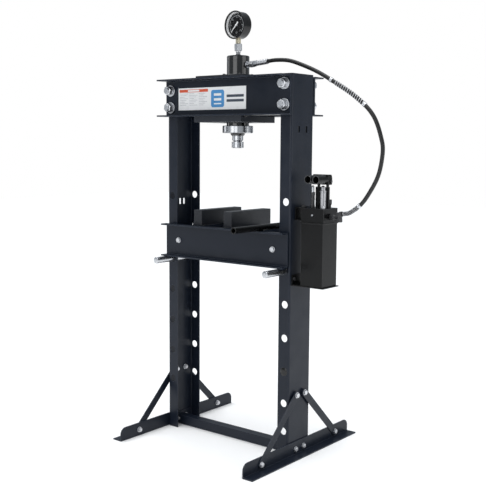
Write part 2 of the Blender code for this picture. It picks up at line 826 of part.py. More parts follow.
def brace(name, side, end):
    """A flat bar from the foot's upright leg up to the upright's web, with a set of one sheet."""
    low = Vector((end * BRACE_FOOT_Y, BRACE_FOOT_HEIGHT))
    high = Vector((end * FOOT_BOLT_Y, BRACE_TOP_HEIGHT))
    middle = (low + high) / 2
    direction = (high - low).normalized()
    across = Vector((-direction.y, direction.x))
    half_length = (high - low).length / 2
    half_width = BRACE_WIDTH / 2
    outline = arc((half_length, 0.0), half_width, -90, 90, 6)
    outline += arc((-half_length, 0.0), half_width, 90, 270, 6)
    x = side * (HALF_WIDTH + GAP + FOOT_SHEET + GAP + BRACE_THICK / 2)
    place = placed((0, direction.x, direction.y), (0, across.x, across.y), (x, middle.x, middle.y))
    item = outline_solid(name, outline, BRACE_THICK, place, frame_paint(name))
    places = [(low.x, low.y), (high.x, high.y)]
    cut(item, small_bolt_holes(x, places))


def crossbar():
    """An angle between the uprights with a tab at each end that the foot bolts pass through."""
    reach = HALF_WIDTH - SHEET - GAP
    front, rear = CROSSBAR_FRONT, CROSSBAR_FRONT + CROSSBAR_LEG
    bottom, top = CROSSBAR_BOTTOM, CROSSBAR_BOTTOM + CROSSBAR_LEG
    paint = frame_paint("base_crossbar")
    item = box("base_crossbar", (-reach, reach), (front, front + CROSSBAR_SHEET), (bottom, top), paint)
    tools = [box("top_leg", (-reach, reach), (front, rear), (top - CROSSBAR_SHEET, top))]
    for side in (-1, 1):
        x_range = sorted((side * (reach - CROSSBAR_SHEET), side * reach))
        y_range = (-TAB_HALF_WIDTH, TAB_HALF_WIDTH)
        tools.append(box("tab", x_range, y_range, (bottom, bottom + TAB_HEIGHT)))
    join(item, tools)
    places = [(y, FOOT_BOLT_HEIGHT) for y in (-FOOT_BOLT_Y, FOOT_BOLT_Y)]
    cut(item, small_bolt_holes(-reach, places) + small_bolt_holes(reach, places))


def pump_tank():
    outer = ((TANK_LEFT, TANK_RIGHT), (TANK_FRONT, TANK_REAR), (TANK_BOTTOM, TANK_TOP))
    item = box("pump_tank", *outer, black_paint("pump_tank"))
    lip = box(
        "lip",
        (TANK_LEFT - TANK_RIM, TANK_RIGHT + TANK_RIM),
        (TANK_FRONT - TANK_RIM, TANK_REAR + TANK_RIM),
        (TANK_TOP - 0.005, TANK_TOP),
    )
    join(item, [lip])
    inside = box_cutter(
        (TANK_LEFT + TANK_SHEET, TANK_RIGHT - TANK_SHEET),
        (TANK_FRONT + TANK_SHEET, TANK_REAR - TANK_SHEET),
        (TANK_BOTTOM + TANK_SHEET, TANK_TOP + 0.02),
    )
    cut(item, [inside])


def pump_shelf():
    """The plate under the tank, with a lip up the upright's web."""
    wall = HALF_WIDTH + GAP
    top = TANK_BOTTOM - GAP
    paint = black_paint("pump_shelf")
    item = box("pump_shelf", (wall, SHELF_RIGHT), SHELF_Y, (top - SHELF_SHEET, top), paint)
    lip = box("lip", (wall, wall + SHELF_SHEET), SHELF_Y, (top - SHELF_SHEET + 0.001, top + SHELF_LIP))
    join(item, [lip])


def pump_bracket():
    """A short box section that holds the pump's head off the upright, open to the front."""
    wall = HALF_WIDTH + GAP
    right = TANK_LEFT - TANK_RIM - GAP
    bottom, top = TANK_TOP + 0.004, BLOCK_TOP + 0.001
    item = box("pump_bracket", (wall, right), BRACKET_Y, (bottom, top), black_paint("pump_bracket"))
    inside = box_cutter(
        (wall + BRACKET_SHEET, right - BRACKET_SHEET),
        (BRACKET_Y[0] - 0.01, BRACKET_Y[1] + 0.01),
        (bottom + BRACKET_SHEET, top - BRACKET_SHEET),
    )
    cut(item, [inside])


def pump_block():
    bottom = TANK_TOP + GAP
    item = box(
        "pump_block",
        (TANK_LEFT - 0.002, TANK_RIGHT + 0.002),
        (TANK_FRONT + 0.001, TANK_REAR - 0.001),
        (bottom, BLOCK_TOP),
        black_paint("pump_block"),
    )
    softened(item, 0.0015)


def pump_cylinder(name, pump, plunger_radius, look):
    x, y, radius, top = pump
    bottom = BLOCK_TOP + GAP
    profile = [
        (radius, top),
        (radius, bottom),
        (0.0, bottom),
        (0.0, bottom + 0.006),
        (plunger_radius + 0.0004, bottom + 0.006),
        (plunger_radius + 0.0004, top),
    ]
    turned(name, profile, look, sides=20, place=Matrix.Translation((x, y, 0)))


def plunger(name, pump, radius):
    x, y, _, top = pump
    bottom = BLOCK_TOP + GAP + 0.006 + 0.014
    profile = [
        (0.0, PLUNGER_TOP),
        (radius - 0.001, PLUNGER_TOP),
        (radius, PLUNGER_TOP - 0.001),
        (radius, bottom),
        (0.0, bottom),
    ]
    turned(name, profile, chrome(name), sides=16, place=Matrix.Translation((x, y, 0)))


def lever_socket(name, pump):
    """A tube that takes the handle; its solid rear is a fork that straddles the link's eye."""
    x = pump[0]
    start, end = (x, SOCKET_FRONT, SOCKET_AXIS), (x, SOCKET_REAR, SOCKET_AXIS)
    item = rod(name, start, end, SOCKET_RADIUS, black_paint(name), 20)
    half = TONGUE_WIDTH / 2
    y_range = (pump[1] - half, pump[1] + half)
    join(item, [box("tongue", (x - half, x + half), y_range, (PLUNGER_TOP + 0.001, SOCKET_AXIS - 0.014))])
    length = SOCKET_BORE_END - SOCKET_FRONT
    bore = hole((0, 1, 0), (x, SOCKET_FRONT, SOCKET_AXIS), SOCKET_BORE, 2 * length, sides=20)
    cut(item, [bore])
    fork = box_cutter(
        (x - FORK_HALF, x + FORK_HALF),
        (FORK_FRONT, SOCKET_REAR + 0.01),
        (SOCKET_AXIS - 0.02, LEVER_PIVOT[1] + 0.0115),
    )
    cut(item, [fork])
    cut(item, [hole((1, 0, 0), (x, *LEVER_PIVOT), PIVOT_RADIUS + 0.0005, 0.06, sides=12)])


def lever_link(name, pump):
    """A bar from the block up behind the plunger, with a thinner eye and the pivot pin in it."""
    x = pump[0]
    y, z = LEVER_PIVOT
    y_range = (y - LINK_DEPTH / 2, y + LINK_DEPTH / 2)
    bottom = BLOCK_TOP + GAP
    wide = LINK_HALF[name]
    item = box(name, (x - wide, x + wide), y_range, (bottom, LINK_SHOULDER), black_paint(name))
    half = LINK_DEPTH / 2
    outline = [(-half, LINK_SHOULDER - 0.004 - z), (half, LINK_SHOULDER - 0.004 - z)]
    outline += arc((0.0, 0.0), EYE_RADIUS, -20, 200, 8)
    eye = outline_solid("eye", outline, 2 * EYE_HALF, placed((0, 1, 0), (0, 0, 1), (x, y, z)))
    reach = SOCKET_RADIUS + 0.0015
    pin = rod("pin", (x - reach, y, z), (x + reach, y, z), PIVOT_RADIUS, sides=12)
    join(item, [eye, pin])


def release_valve():
    bottom = BLOCK_TOP + GAP
    profile = [
        (0.0, bottom + 0.033),
        (0.0048, bottom + 0.033),
        (0.0062, bottom + 0.031),
        (0.0062, bottom + 0.014),
        (0.0035, bottom + 0.012),
        (0.0035, bottom),
        (0.0, bottom),
    ]
    place = Matrix.Translation((*KNOB, 0))
    turned("release_valve", profile, black_paint("release_valve"), sides=20, place=place)


def port_adapter():
    x, y, z = PUMP_PORT
    look = black_paint("pump_port_adapter")
    item = rod("pump_port_adapter", (x, y, z), (x + ADAPTER_LENGTH, y, z), 0.008, look, 20)
    join(item, [rod("hexagon", (x, y, z), (x + 0.014, y, z), 0.0125, sides=6)])


def smooth_route(points, count):
    """Evenly counted points on a smooth curve through the route's own points."""
    ends = [2 * Vector(points[0]) - Vector(points[1]), 2 * Vector(points[-1]) - Vector(points[-2])]
    whole = [ends[0]] + [Vector(point) for point in points] + [ends[1]]
    dense = []
    for before, start, end, after in zip(whole, whole[1:], whole[2:], whole[3:]):
        for step in range(24):
            t = step / 24
            dense.append(
                0.5
                * (
                    2 * start
                    + (end - before) * t
                    + (2 * before - 5 * start + 4 * end - after) * t**2
                    + (3 * start - before - 3 * end + after) * t**3
                )
            )
    dense.append(whole[-2])
    lengths = [0.0]
    for first, second in zip(dense, dense[1:]):
        lengths.append(lengths[-1] + (second - first).length)
    found = []
    for index in range(count):
        target = lengths[-1] * index / (count - 1)
        place = max(i for i, length in enumerate(lengths) if length <= target + 1e-9)
        if place >= len(dense) - 1:
            found.append(dense[-1])
            continue
        share = (target - lengths[place]) / (lengths[place + 1] - lengths[place])
        found.append(dense[place].lerp(dense[place + 1], share))
    return found


def hose():
    route = [(x, PUMP_PORT[1] * (x - HOSE_ROUTE[0][0]) / 0.4, z) for x, z in HOSE_ROUTE]
    curve = bpy.data.curves.new("hose", "CURVE")
    curve.dimensions = "3D"
    curve.bevel_depth = HOSE_RADIUS
    curve.bevel_resolution = 3
    curve.use_fill_caps = True
    spline = curve.splines.new("POLY")
    points = smooth_route(route, HOSE_POINTS)
    spline.points.add(len(points) - 1)
    for point, place in zip(spline.points, points):
        point.co = (*place, 1.0)
    add_object("hose", curve, material("hose_rubber", (0.010, 0.010, 0.011), 0.55, 0.0))
    return points


def hose_fitting(name, neck, end, direction, length, hexagon):
    """A crimped sleeve that runs back from the hose's end, with a hexagon and a level neck."""
    end = end + direction * GAP
    start = end + direction * length
    item = rod(name, end, start, SLEEVE_RADIUS, zinc(name), 20)
    hex_from, hex_to, hex_radius = hexagon
    tools = [rod("hexagon", start.lerp(end, hex_from), start.lerp(end, hex_to), hex_radius, sides=6)]
    tools.append(rod("neck", *neck, sides=16))
    join(item, tools)


def pump_hose_fitting(points):
    """An upright body on the pump's port, with a short sleeve out to the level end of the hose."""
    x, y, z = PUMP_PORT
    low, high = ELBOW_HEIGHTS
    name = "pump_hose_fitting"
    item = rod(name, (ELBOW_X, y, low), (ELBOW_X, y, high), ELBOW_RADIUS, black_paint(name), 6)
    direction = (points[-1] - points[-2]).normalized()
    start = points[-1] + direction * GAP
    tools = [rod("neck", (x + ADAPTER_LENGTH + GAP, y, z), (ELBOW_X, y, z), 0.0065, sides=16)]
    tools.append(rod("sleeve", start, start + direction * 0.0130, SLEEVE_RADIUS, sides=20))
    join(item, tools)


def hose_fittings(points):
    neck = ((0.035, 0, PORT_HEIGHT), (CYLINDER_RADIUS + 0.016, 0, PORT_HEIGHT), PORT_RADIUS - 0.0005)
    direction = (points[0] - points[1]).normalized()
    hose_fitting("cylinder_hose_fitting", neck, points[0], direction, 0.100, (0.06, 0.45, 0.0135))
    pump_hose_fitting(points)


def pump():
    pump_tank()
    pump_shelf()
    pump_bracket()
    pump_block()
    small_look = black_paint("small_pump_cylinder")
    pump_cylinder("small_pump_cylinder", SMALL_PUMP, SMALL_PLUNGER_RADIUS, small_look)
    pump_cylinder("large_pump_cylinder", LARGE_PUMP, LARGE_PLUNGER_RADIUS, steel("large_pump_cylinder"))
    plunger("small_plunger", SMALL_PUMP, SMALL_PLUNGER_RADIUS)
    plunger("large_plunger", LARGE_PUMP, LARGE_PLUNGER_RADIUS)
    lever_socket("small_lever_socket", SMALL_PUMP)
    lever_socket("large_lever_socket", LARGE_PUMP)
    lever_link("small_lever_link", SMALL_PUMP)
    lever_link("large_lever_link", LARGE_PUMP)
    release_valve()
    port_adapter()


def move_to_origin():
    """Shifts the whole press so that the middle of its footprint is the origin."""
    for item in PRESS.objects:
        item.data.transform(Matrix.Translation((CENTRE_SHIFT, 0, 0)))


def set_origin(name, point):
    """Puts a moving piece's origin on its joint's axis; its shape stays where it is."""
    item = bpy.data.objects[name]
    point = Vector(point) + Vector((CENTRE_SHIFT, 0, 0))
    item.data.transform(Matrix.Translation(-point))
    item.location = point


def set_origins(bed_top):
    pin_height = PIN_LEVEL - BED_HOLE_RADIUS + GAP + PIN_RADIUS
    pin_x = HALF_WIDTH - BED_HOLE_INSET
    lever_y, lever_z = LEVER_PIVOT
    set_origin("ram_rod", (0, 0, PISTON_BOTTOM))
    set_origin("ram_tip", (0, 0, TIP_BOTTOM))
    set_origin("gauge_needle", (0, 0, GAUGE_HEIGHT))
    for name in ("front_bed_channel", "rear_bed_channel", "left_bed_spacer", "right_bed_spacer"):
        set_origin(name, (0, 0, bed_top - GAP - BED_HEIGHT))
    set_origin("left_bed_pin", (-pin_x, LEFT_PIN_FRONT, pin_height))
    set_origin("right_bed_pin", (pin_x, RIGHT_PIN_FRONT, pin_height))
    set_origin("left_press_block", (BLOCK_LEFT_X, 0, bed_top))
    set_origin("right_press_block", (BLOCK_RIGHT_X, 0, bed_top))
    set_origin("pump_handle", (HANDLE_X, HANDLE_FRONT, bed_top + HANDLE_RADIUS))
    for size, pump in (("small", SMALL_PUMP), ("large", LARGE_PUMP)):
        set_origin(size + "_lever_socket", (pump[0], lever_y, lever_z))
        set_origin(size + "_plunger", (pump[0], pump[1], PLUNGER_TOP))
    set_origin("release_valve", (*KNOB, BLOCK_TOP))


def build():
    upright("left_upright", -1)
    upright("right_upright", 1)
    top_channel("front_top_channel", -1)
    top_channel("rear_top_channel", 1)
    beam_bolts()
    cylinder_plates()
    label_plate()
    cylinder()
    lock_ring()
    gland()
    ram()
    gauge()
    gauge_stem()
    gauge_needle()
    gauge_adapter()
    bed_top = bed()
    press_block("left_press_block", BLOCK_LEFT_X, -0.084, bed_top)
    press_block("right_press_block", BLOCK_RIGHT_X, -0.077, bed_top)
    pump_handle(bed_top)
    for name, side in (("left", -1), ("right", 1)):
        foot(name + "_foot", side)
        brace(name + "_front_brace", side, -1)
        brace(name + "_rear_brace", side, 1)
    crossbar()
    pump()
    hose_fittings(hose())
    move_to_origin()
    set_origins(bed_top)


build()
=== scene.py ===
"""Looks of the hydraulic shop press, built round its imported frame.

Metres, +Z up. Pieces are made in the press's own axes, whose X is zero in the middle between the
uprights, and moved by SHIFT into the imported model's frame. The operator stands at -Y.
"""

import math
import random

import bmesh
import bpy
from mathutils import Matrix, Vector


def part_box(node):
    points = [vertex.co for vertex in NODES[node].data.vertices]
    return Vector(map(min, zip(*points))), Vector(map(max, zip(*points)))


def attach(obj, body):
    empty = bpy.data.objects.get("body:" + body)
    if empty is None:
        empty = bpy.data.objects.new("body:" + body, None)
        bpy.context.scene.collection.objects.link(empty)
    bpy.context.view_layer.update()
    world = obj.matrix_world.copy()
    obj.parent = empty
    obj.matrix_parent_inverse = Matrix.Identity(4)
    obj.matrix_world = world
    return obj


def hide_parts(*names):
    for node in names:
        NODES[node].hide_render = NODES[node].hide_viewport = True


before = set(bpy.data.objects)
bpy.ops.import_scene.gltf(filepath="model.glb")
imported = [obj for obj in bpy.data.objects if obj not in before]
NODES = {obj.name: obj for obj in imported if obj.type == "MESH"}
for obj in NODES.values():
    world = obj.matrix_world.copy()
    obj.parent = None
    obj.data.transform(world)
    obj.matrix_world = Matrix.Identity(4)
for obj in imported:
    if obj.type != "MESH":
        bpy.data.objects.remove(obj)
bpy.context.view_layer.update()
SHIFT = -0.05075
GAP = 0.0003
RNG = random.Random(7)

# ---------------------------------------------------------------- camera

CAMERA_PLACE = (2.2978, -2.9020, 1.2666)
CAMERA_AZIMUTH = math.radians(38.6)
CAMERA_PITCH = math.radians(6.42)
CAMERA_ROLL = math.radians(0.37)
CAMERA_LENS = 65.49


def camera():
    data = bpy.data.cameras.new("camera")
    data.sensor_width = 36.0
    data.lens = CAMERA_LENS
    item = bpy.data.objects.new("camera", data)
    bpy.context.scene.collection.objects.link(item)
    turn = Matrix.Rotation(CAMERA_AZIMUTH, 4, "Z") @ Matrix.Rotation(math.pi / 2 - CAMERA_PITCH, 4,
                                                                     "X")
    item.matrix_world = Matrix.Translation(CAMERA_PLACE) @ turn @ Matrix.Rotation(CAMERA_ROLL, 4,
                                                                                  "Z")
    bpy.context.scene.camera = item


camera()

# ---------------------------------------------------------------- materials

LOOKS = {}


def look(
    name,
    colour,
    rough,
    metal=0.0,
    tint=None,
    grain=900.0,
    bump=0.0,
    blotch=9.0,
    rough_range=0.08,
    colour_range=0.18,
    edge=None,
    edge_width=0.0016,
    stretch=(1.0, 1.0, 1.0),
    specular=0.5,
    coat=0.0,
    coat_rough=0.1,
):
    """A Principled material with fine grain, broad variation and painted edge light and shade."""
    if name in LOOKS:
        return LOOKS[name]
    item = bpy.data.materials.new(name)
    item.use_nodes = True
    tree = item.node_tree
    nodes, links = tree.nodes, tree.links
    shader = nodes["Principled BSDF"]
    shader.inputs["Metallic"].default_value = metal
    shader.inputs["Specular IOR Level"].default_value = specular
    if coat:
        shader.inputs["Coat Weight"].default_value = coat
        shader.inputs["Coat Roughness"].default_value = coat_rough
    where = nodes.new("ShaderNodeTexCoord")
    mapping = nodes.new("ShaderNodeMapping")
    mapping.inputs["Scale"].default_value = stretch
    links.new(where.outputs["Object"], mapping.inputs["Vector"])

    def noise(scale, detail):
        made = nodes.new("ShaderNodeTexNoise")
        made.inputs["Scale"].default_value = scale
        made.inputs["Detail"].default_value = detail
        links.new(mapping.outputs["Vector"], made.inputs["Vector"])
        return made.outputs["Fac"]

    def ranged(value, low, high):
        made = nodes.new("ShaderNodeMapRange")
        made.inputs["From Min"].default_value = 0.3
        made.inputs["From Max"].default_value = 0.7
        made.inputs["To Min"].default_value = low
        made.inputs["To Max"].default_value = high
        links.new(value, made.inputs["Value"])
        return made.outputs["Result"]

    def mixed(share, first, second):
        made = nodes.new("ShaderNodeMix")
        made.data_type = "RGBA"
        links.new(share, made.inputs["Factor"])
        for value, socket in ((first, made.inputs["A"]), (second, made.inputs["B"])):
            if isinstance(value, tuple):
                socket.default_value = (*value, 1.0)
            else:
                links.new(value, socket)
        return made.outputs["Result"]

    broad = noise(blotch, 3.0)
    fine = noise(grain, 2.0)
    other = tint or tuple(min(1.0, c * (1 + colour_range)) for c in colour)
    base = mixed(ranged(broad, 0.0, 1.0), colour, other)
    base = mixed(ranged(fine, 0.0, 0.5), base, tuple(c * (1 - colour_range) for c in colour))
    # Painted light: along edges found by the Bevel node, the base turns towards the edge colour. A
    # lighter edge colour is a painted highlight; a darker one (zinc) is painted reflection shade.
    if edge:
        rounded = nodes.new("ShaderNodeBevel")
        rounded.samples = 4
        rounded.inputs["Radius"].default_value = edge_width
        shape = nodes.new("ShaderNodeNewGeometry")
        dot = nodes.new("ShaderNodeVectorMath")
        dot.operation = "DOT_PRODUCT"
        links.new(rounded.outputs["Normal"], dot.inputs[0])
        links.new(shape.outputs["Normal"], dot.inputs[1])
        painted_edge_share = nodes.new("ShaderNodeMapRange")
        painted_edge_share.inputs["From Min"].default_value = 0.995
        painted_edge_share.inputs["From Max"].default_value = 0.86
        painted_edge_share.inputs["To Min"].default_value = 0.0
        painted_edge_share.inputs["To Max"].default_value = 0.75
        links.new(dot.outputs["Value"], painted_edge_share.inputs["Value"])
        base = mixed(painted_edge_share.outputs["Result"], base, edge)
    links.new(base, shader.inputs["Base Color"])
    links.new(ranged(noise(blotch * 3.7, 4.0), rough - rough_range, rough + rough_range),
              shader.inputs["Roughness"])
    if bump:
        rise = nodes.new("ShaderNodeBump")
        rise.inputs["Strength"].default_value = 0.6
        rise.inputs["Distance"].default_value = bump
        links.new(fine, rise.inputs["Height"])
        links.new(rise.outputs["Normal"], shader.inputs["Normal"])
    LOOKS[name] = item
    return item


# The edge colours of these looks are painted: the lighter ones on paint, enamel, oxide and brass are
# painted edge highlights.
PAINT = look(
    "frame_powder_coat", (0.0068, 0.0102, 0.0185), 0.36, tint=(0.0095, 0.0135, 0.0230), grain=620.0,
    bump=0.00006,
    blotch=5.0, edge=(0.085, 0.100, 0.125), specular=0.25,
)
PLATE_PAINT = look(
    "plate_powder_coat", (0.0090, 0.0115, 0.0180), 0.44, tint=(0.017, 0.020, 0.027), grain=240.0,
    bump=0.00035,
    blotch=14.0, edge=(0.10, 0.108, 0.122), specular=0.34,
)
BLOCK_PAINT = look(
    "block_powder_coat", (0.0100, 0.0120, 0.0170), 0.38, tint=(0.017, 0.019, 0.024), grain=380.0,
    bump=0.00025,
    blotch=22.0, edge=(0.14, 0.145, 0.155), specular=0.34,
)
PUMP_BLACK = look(
    "pump_enamel", (0.0030, 0.0031, 0.0033), 0.24, tint=(0.0045, 0.0046, 0.0048), grain=520.0,
    bump=0.00001,
    blotch=12.0, rough_range=0.03, edge=(0.13, 0.13, 0.13), edge_width=0.0012, specular=0.20,
)
CYLINDER_BLACK = look(
    "cylinder_enamel", (0.0045, 0.0045, 0.0048), 0.13, tint=(0.0065, 0.0065, 0.0070), grain=300.0,
    bump=0.00002,
    blotch=18.0, rough_range=0.04, coat=0.6, coat_rough=0.06,
)
GAUGE_BLACK = look(
    "gauge_enamel", (0.0030, 0.0030, 0.0033), 0.18, tint=(0.0042, 0.0042, 0.0046), grain=700.0,
    bump=0.00001,
    blotch=25.0, rough_range=0.04, edge=(0.05, 0.05, 0.055), edge_width=0.0008, specular=0.40,
)
BLUED = look(
    "black_oxide", (0.016, 0.016, 0.0175), 0.36, tint=(0.030, 0.030, 0.032), grain=800.0,
    bump=0.00006,
    blotch=40.0, edge=(0.16, 0.16, 0.17), edge_width=0.0007,
)
# Painted reflection shade: the zinc's dark edge colour draws the dark lines where nut facets meet.
ZINC = look(
    "bright_zinc", (0.70, 0.71, 0.73), 0.32, metal=1.0, tint=(0.60, 0.61, 0.64), grain=1100.0,
    bump=0.00005,
    blotch=60.0, rough_range=0.06, edge=(0.22, 0.22, 0.23), edge_width=0.0010,
)
CHROME = look(
    "hard_chrome", (0.56, 0.57, 0.59), 0.26, metal=1.0, tint=(0.50, 0.51, 0.53), grain=900.0,
    bump=0.00001,
    blotch=45.0, rough_range=0.05, colour_range=0.05, stretch=(1.0, 1.0, 9.0),
)
TURNED = look(
    "turned_steel", (0.42, 0.42, 0.43), 0.30, metal=1.0, tint=(0.34, 0.34, 0.355), grain=260.0,
    bump=0.00004,
    blotch=30.0, stretch=(1.0, 1.0, 14.0),
)
BRASS = look(
    "brass", (0.88, 0.80, 0.62), 0.26, metal=1.0, tint=(0.80, 0.70, 0.50), grain=420.0,
    bump=0.00004,
    blotch=35.0, edge=(0.92, 0.84, 0.62), edge_width=0.0008,
)
RUBBER = look(
    "hose_cover", (0.0040, 0.0040, 0.0044), 0.40, tint=(0.0060, 0.0060, 0.0064), grain=1500.0,
    bump=0.00008,
    blotch=30.0, specular=0.40,
)
SPRING = look(
    "spring_wire", (0.66, 0.67, 0.69), 0.26, metal=1.0, tint=(0.5, 0.5, 0.52), grain=900.0,
    bump=0.00003,
    blotch=80.0,
)
LABEL_WHITE = look(
    "label_white", (0.84, 0.845, 0.85), 0.30, tint=(0.80, 0.805, 0.81), grain=500.0,
    colour_range=0.03,
    bump=0.00002,
)
LABEL_BLUE = look("label_blue", (0.060, 0.260, 0.560), 0.32, tint=(0.07, 0.29, 0.60),
                  colour_range=0.06, bump=0.00002)
LABEL_RED = look("label_red", (0.62, 0.085, 0.035), 0.34, tint=(0.68, 0.11, 0.045),
                 colour_range=0.06, bump=0.00002)
LABEL_GREY = look("label_grey", (0.40, 0.41, 0.43), 0.34, colour_range=0.06, bump=0.00002)
LABEL_DARK = look("label_dark", (0.045, 0.060, 0.085), 0.34, colour_range=0.10, bump=0.00002)
DIAL_BLACK = look("dial_black", (0.006, 0.006, 0.007), 0.50, bump=0.00001, colour_range=0.10,
                  specular=0.15)
DIAL_MARK = look("dial_mark", (0.46, 0.47, 0.48), 0.45, colour_range=0.04, bump=0.00001)
DIAL_BAND = look("dial_band", (0.50, 0.51, 0.52), 0.45, colour_range=0.04, bump=0.00001)
RECESS_WHITE = look("gauge_bezel_white", (0.95, 0.95, 0.95), 0.34, colour_range=0.02, bump=0.00001)
NEEDLE_WHITE = look("needle_white", (0.84, 0.84, 0.85), 0.42, colour_range=0.03, bump=0.00001)
# Painted shade: the near-black of the plate behind the slots stands in for the shade inside the upright.
SLOT_SHADE_BLACK = look("slot_shade_black", (0.0035, 0.0035, 0.0040), 0.55, colour_range=0.2, bump=0.00003)


def glass_look():
    item = bpy.data.materials.new("gauge_glass")
    item.use_nodes = True
    shader = item.node_tree.nodes["Principled BSDF"]
    shader.inputs["Base Color"].default_value = (0.03, 0.03, 0.03, 1.0)
    shader.inputs["Roughness"].default_value = 0.03
    shader.inputs["Alpha"].default_value = 0.05
    shader.inputs["Specular IOR Level"].default_value = 0.12
    noise = item.node_tree.nodes.new("ShaderNodeTexNoise")
    noise.inputs["Scale"].default_value = 60.0
    bump = item.node_tree.nodes.new("ShaderNodeBump")
    bump.inputs["Strength"].default_value = 0.05
    bump.inputs["Distance"].default_value = 0.0001
    item.node_tree.links.new(noise.outputs["Fac"], bump.inputs["Height"])
    item.node_tree.links.new(bump.outputs["Normal"], shader.inputs["Normal"])
    return item


GLASS = glass_look()

# ---------------------------------------------------------------- mesh makers

HEX_SIDES = 6
SHARP_ANGLE = math.radians(28.0)
NODE_SHARP_ANGLE = math.radians(32)


def along(direction):
    """A turn that takes +Z to the direction."""
    return Vector(direction).to_track_quat("Z", "Y").to_matrix().to_4x4()


def at(x, y, z):
    return Matrix.Translation((x, y, z))


def put(bm, made, place):
    bmesh.ops.transform(bm, matrix=place, verts=made)


def add_lathe(bm, profile, place=Matrix.Identity(4), steps=64):
    """Turns (radius, height) points about local Z; a radius of zero closes the end."""
    rings = []
    for radius, height in profile:
        if radius < 1e-7:
            rings.append([bm.verts.new((0, 0, height))])
            continue
        ring = []
        for step in range(steps):
            angle = 2 * math.pi * step / steps
            ring.append(bm.verts.new((radius * math.cos(angle), radius * math.sin(angle), height)))
        rings.append(ring)
    for low, high in zip(rings, rings[1:]):
        for step in range(steps):
            after = (step + 1) % steps
            if len(low) == 1 and len(high) == 1:
                continue
            if len(low) == 1:
                bm.faces.new((low[0], high[after], high[step]))
            elif len(high) == 1:
                bm.faces.new((low[step], low[after], high[0]))
            else:
                bm.faces.new((low[step], low[after], high[after], high[step]))
    put(bm, [v for ring in rings for v in ring], place)


def add_ring(bm, profile, place=Matrix.Identity(4), steps=64):
    """As add_lathe, for a closed profile with a hole through the middle."""
    add_lathe(bm, list(profile) + [profile[0]], place, steps)


def add_box(bm, x, y, z, place=Matrix.Identity(4)):
    corners = [bm.verts.new((x[i], y[j], z[k])) for i in (0, 1) for j in (0, 1) for k in (0, 1)]
    for face in ((0, 1, 3, 2), (4, 6, 7, 5), (0, 4, 5, 1), (2, 3, 7, 6), (0, 2, 6, 4),
                 (1, 5, 7, 3)):
        bm.faces.new([corners[i] for i in face])
    put(bm, corners, place)


def add_outline(bm, outline, low, high, place=Matrix.Identity(4)):
    """A plate of the outline's shape between two heights."""
    bottom = [bm.verts.new((x, y, low)) for x, y in outline]
    top = [bm.verts.new((x, y, high)) for x, y in outline]
    bm.faces.new(list(reversed(bottom)))
    bm.faces.new(top)
    for i in range(len(outline)):
        j = (i + 1) % len(outline)
        bm.faces.new((bottom[i], bottom[j], top[j], top[i]))
    put(bm, bottom + top, place)


def add_nut(bm, place, corner, height, chamfer_at=0.93, both=False, turn=0.0, face_drop=0.0):
    """A hexagon whose outer corners are cut back by a cone, as on a real nut or bolt head."""
    samples = 12 * HEX_SIDES
    flat = corner * math.cos(math.pi / HEX_SIDES)
    cone = flat * chamfer_at
    slope = math.tan(math.radians(30))
    rims = {"bottom": [], "top": [], "cap": [], "base": []}
    for step in range(samples):
        angle = 2 * math.pi * step / samples
        sector = (angle % (2 * math.pi / HEX_SIDES)) - math.pi / HEX_SIDES
        reach = flat / math.cos(sector)
        drop = max(0.0, reach - cone) * slope
        c, s = math.cos(angle + turn), math.sin(angle + turn)
        rims["base"].append(bm.verts.new((cone * c, cone * s, 0.0)))
        rims["bottom"].append(bm.verts.new((reach * c, reach * s, drop if both else 0.0)))
        rims["top"].append(bm.verts.new((reach * c, reach * s, height - drop)))
        rims["cap"].append(bm.verts.new((cone * c, cone * s, height)))
    inner = [bm.verts.new((cone * 0.62 * math.cos(2 * math.pi * k / samples + turn),
                           cone * 0.62 * math.sin(2 * math.pi * k / samples + turn),
                           height - face_drop))
             for k in range(samples)]
    order = [rims["base"], rims["bottom"], rims["top"], rims["cap"], inner]
    for low, high in zip(order, order[1:]):
        for step in range(samples):
            after = (step + 1) % samples
            bm.faces.new((low[step], low[after], high[after], high[step]))
    bm.faces.new(list(reversed(rims["base"])))
    bm.faces.new(inner)
    put(bm, [v for ring in order for v in ring], place)


def threads(radius, start, end, pitch=0.0018, depth=0.0008):
    """The profile of a threaded end, from start to end, with a small chamfer."""
    profile = []
    count = max(2, int(abs(end - start) / pitch))
    for index in range(count):
        low = start + (end - start) * index / count
        mid = start + (end - start) * (index + 0.5) / count
        profile += [(radius - depth, low), (radius, mid)]
    profile += [(radius - depth, end), (radius - 2 * depth, end), (0.0, end)]
    return profile


def add_tube(bm, path, radius, sides):
    """A closed round tube along a list of points, with a frame carried along it without twist."""
    points = [Vector(p) for p in path]
    tangents = []
    for index in range(len(points)):
        before, after = points[max(0, index - 1)], points[min(len(points) - 1, index + 1)]
        tangents.append((after - before).normalized())
    side = tangents[0].orthogonal().normalized()
    rings = []
    for point, tangent in zip(points, tangents):
        side = (side - tangent * side.dot(tangent)).normalized()
        up = tangent.cross(side)
        ring = []
        for step in range(sides):
            angle = 2 * math.pi * step / sides
            ring.append(bm.verts.new(point + radius * (math.cos(angle) * side + math.sin(angle) * up)))
        rings.append(ring)
    for low, high in zip(rings, rings[1:]):
        for step in range(sides):
            after = (step + 1) % sides
            bm.faces.new((low[step], low[after], high[after], high[step]))
    bm.faces.new(list(reversed(rings[0])))
    bm.faces.new(rings[-1])


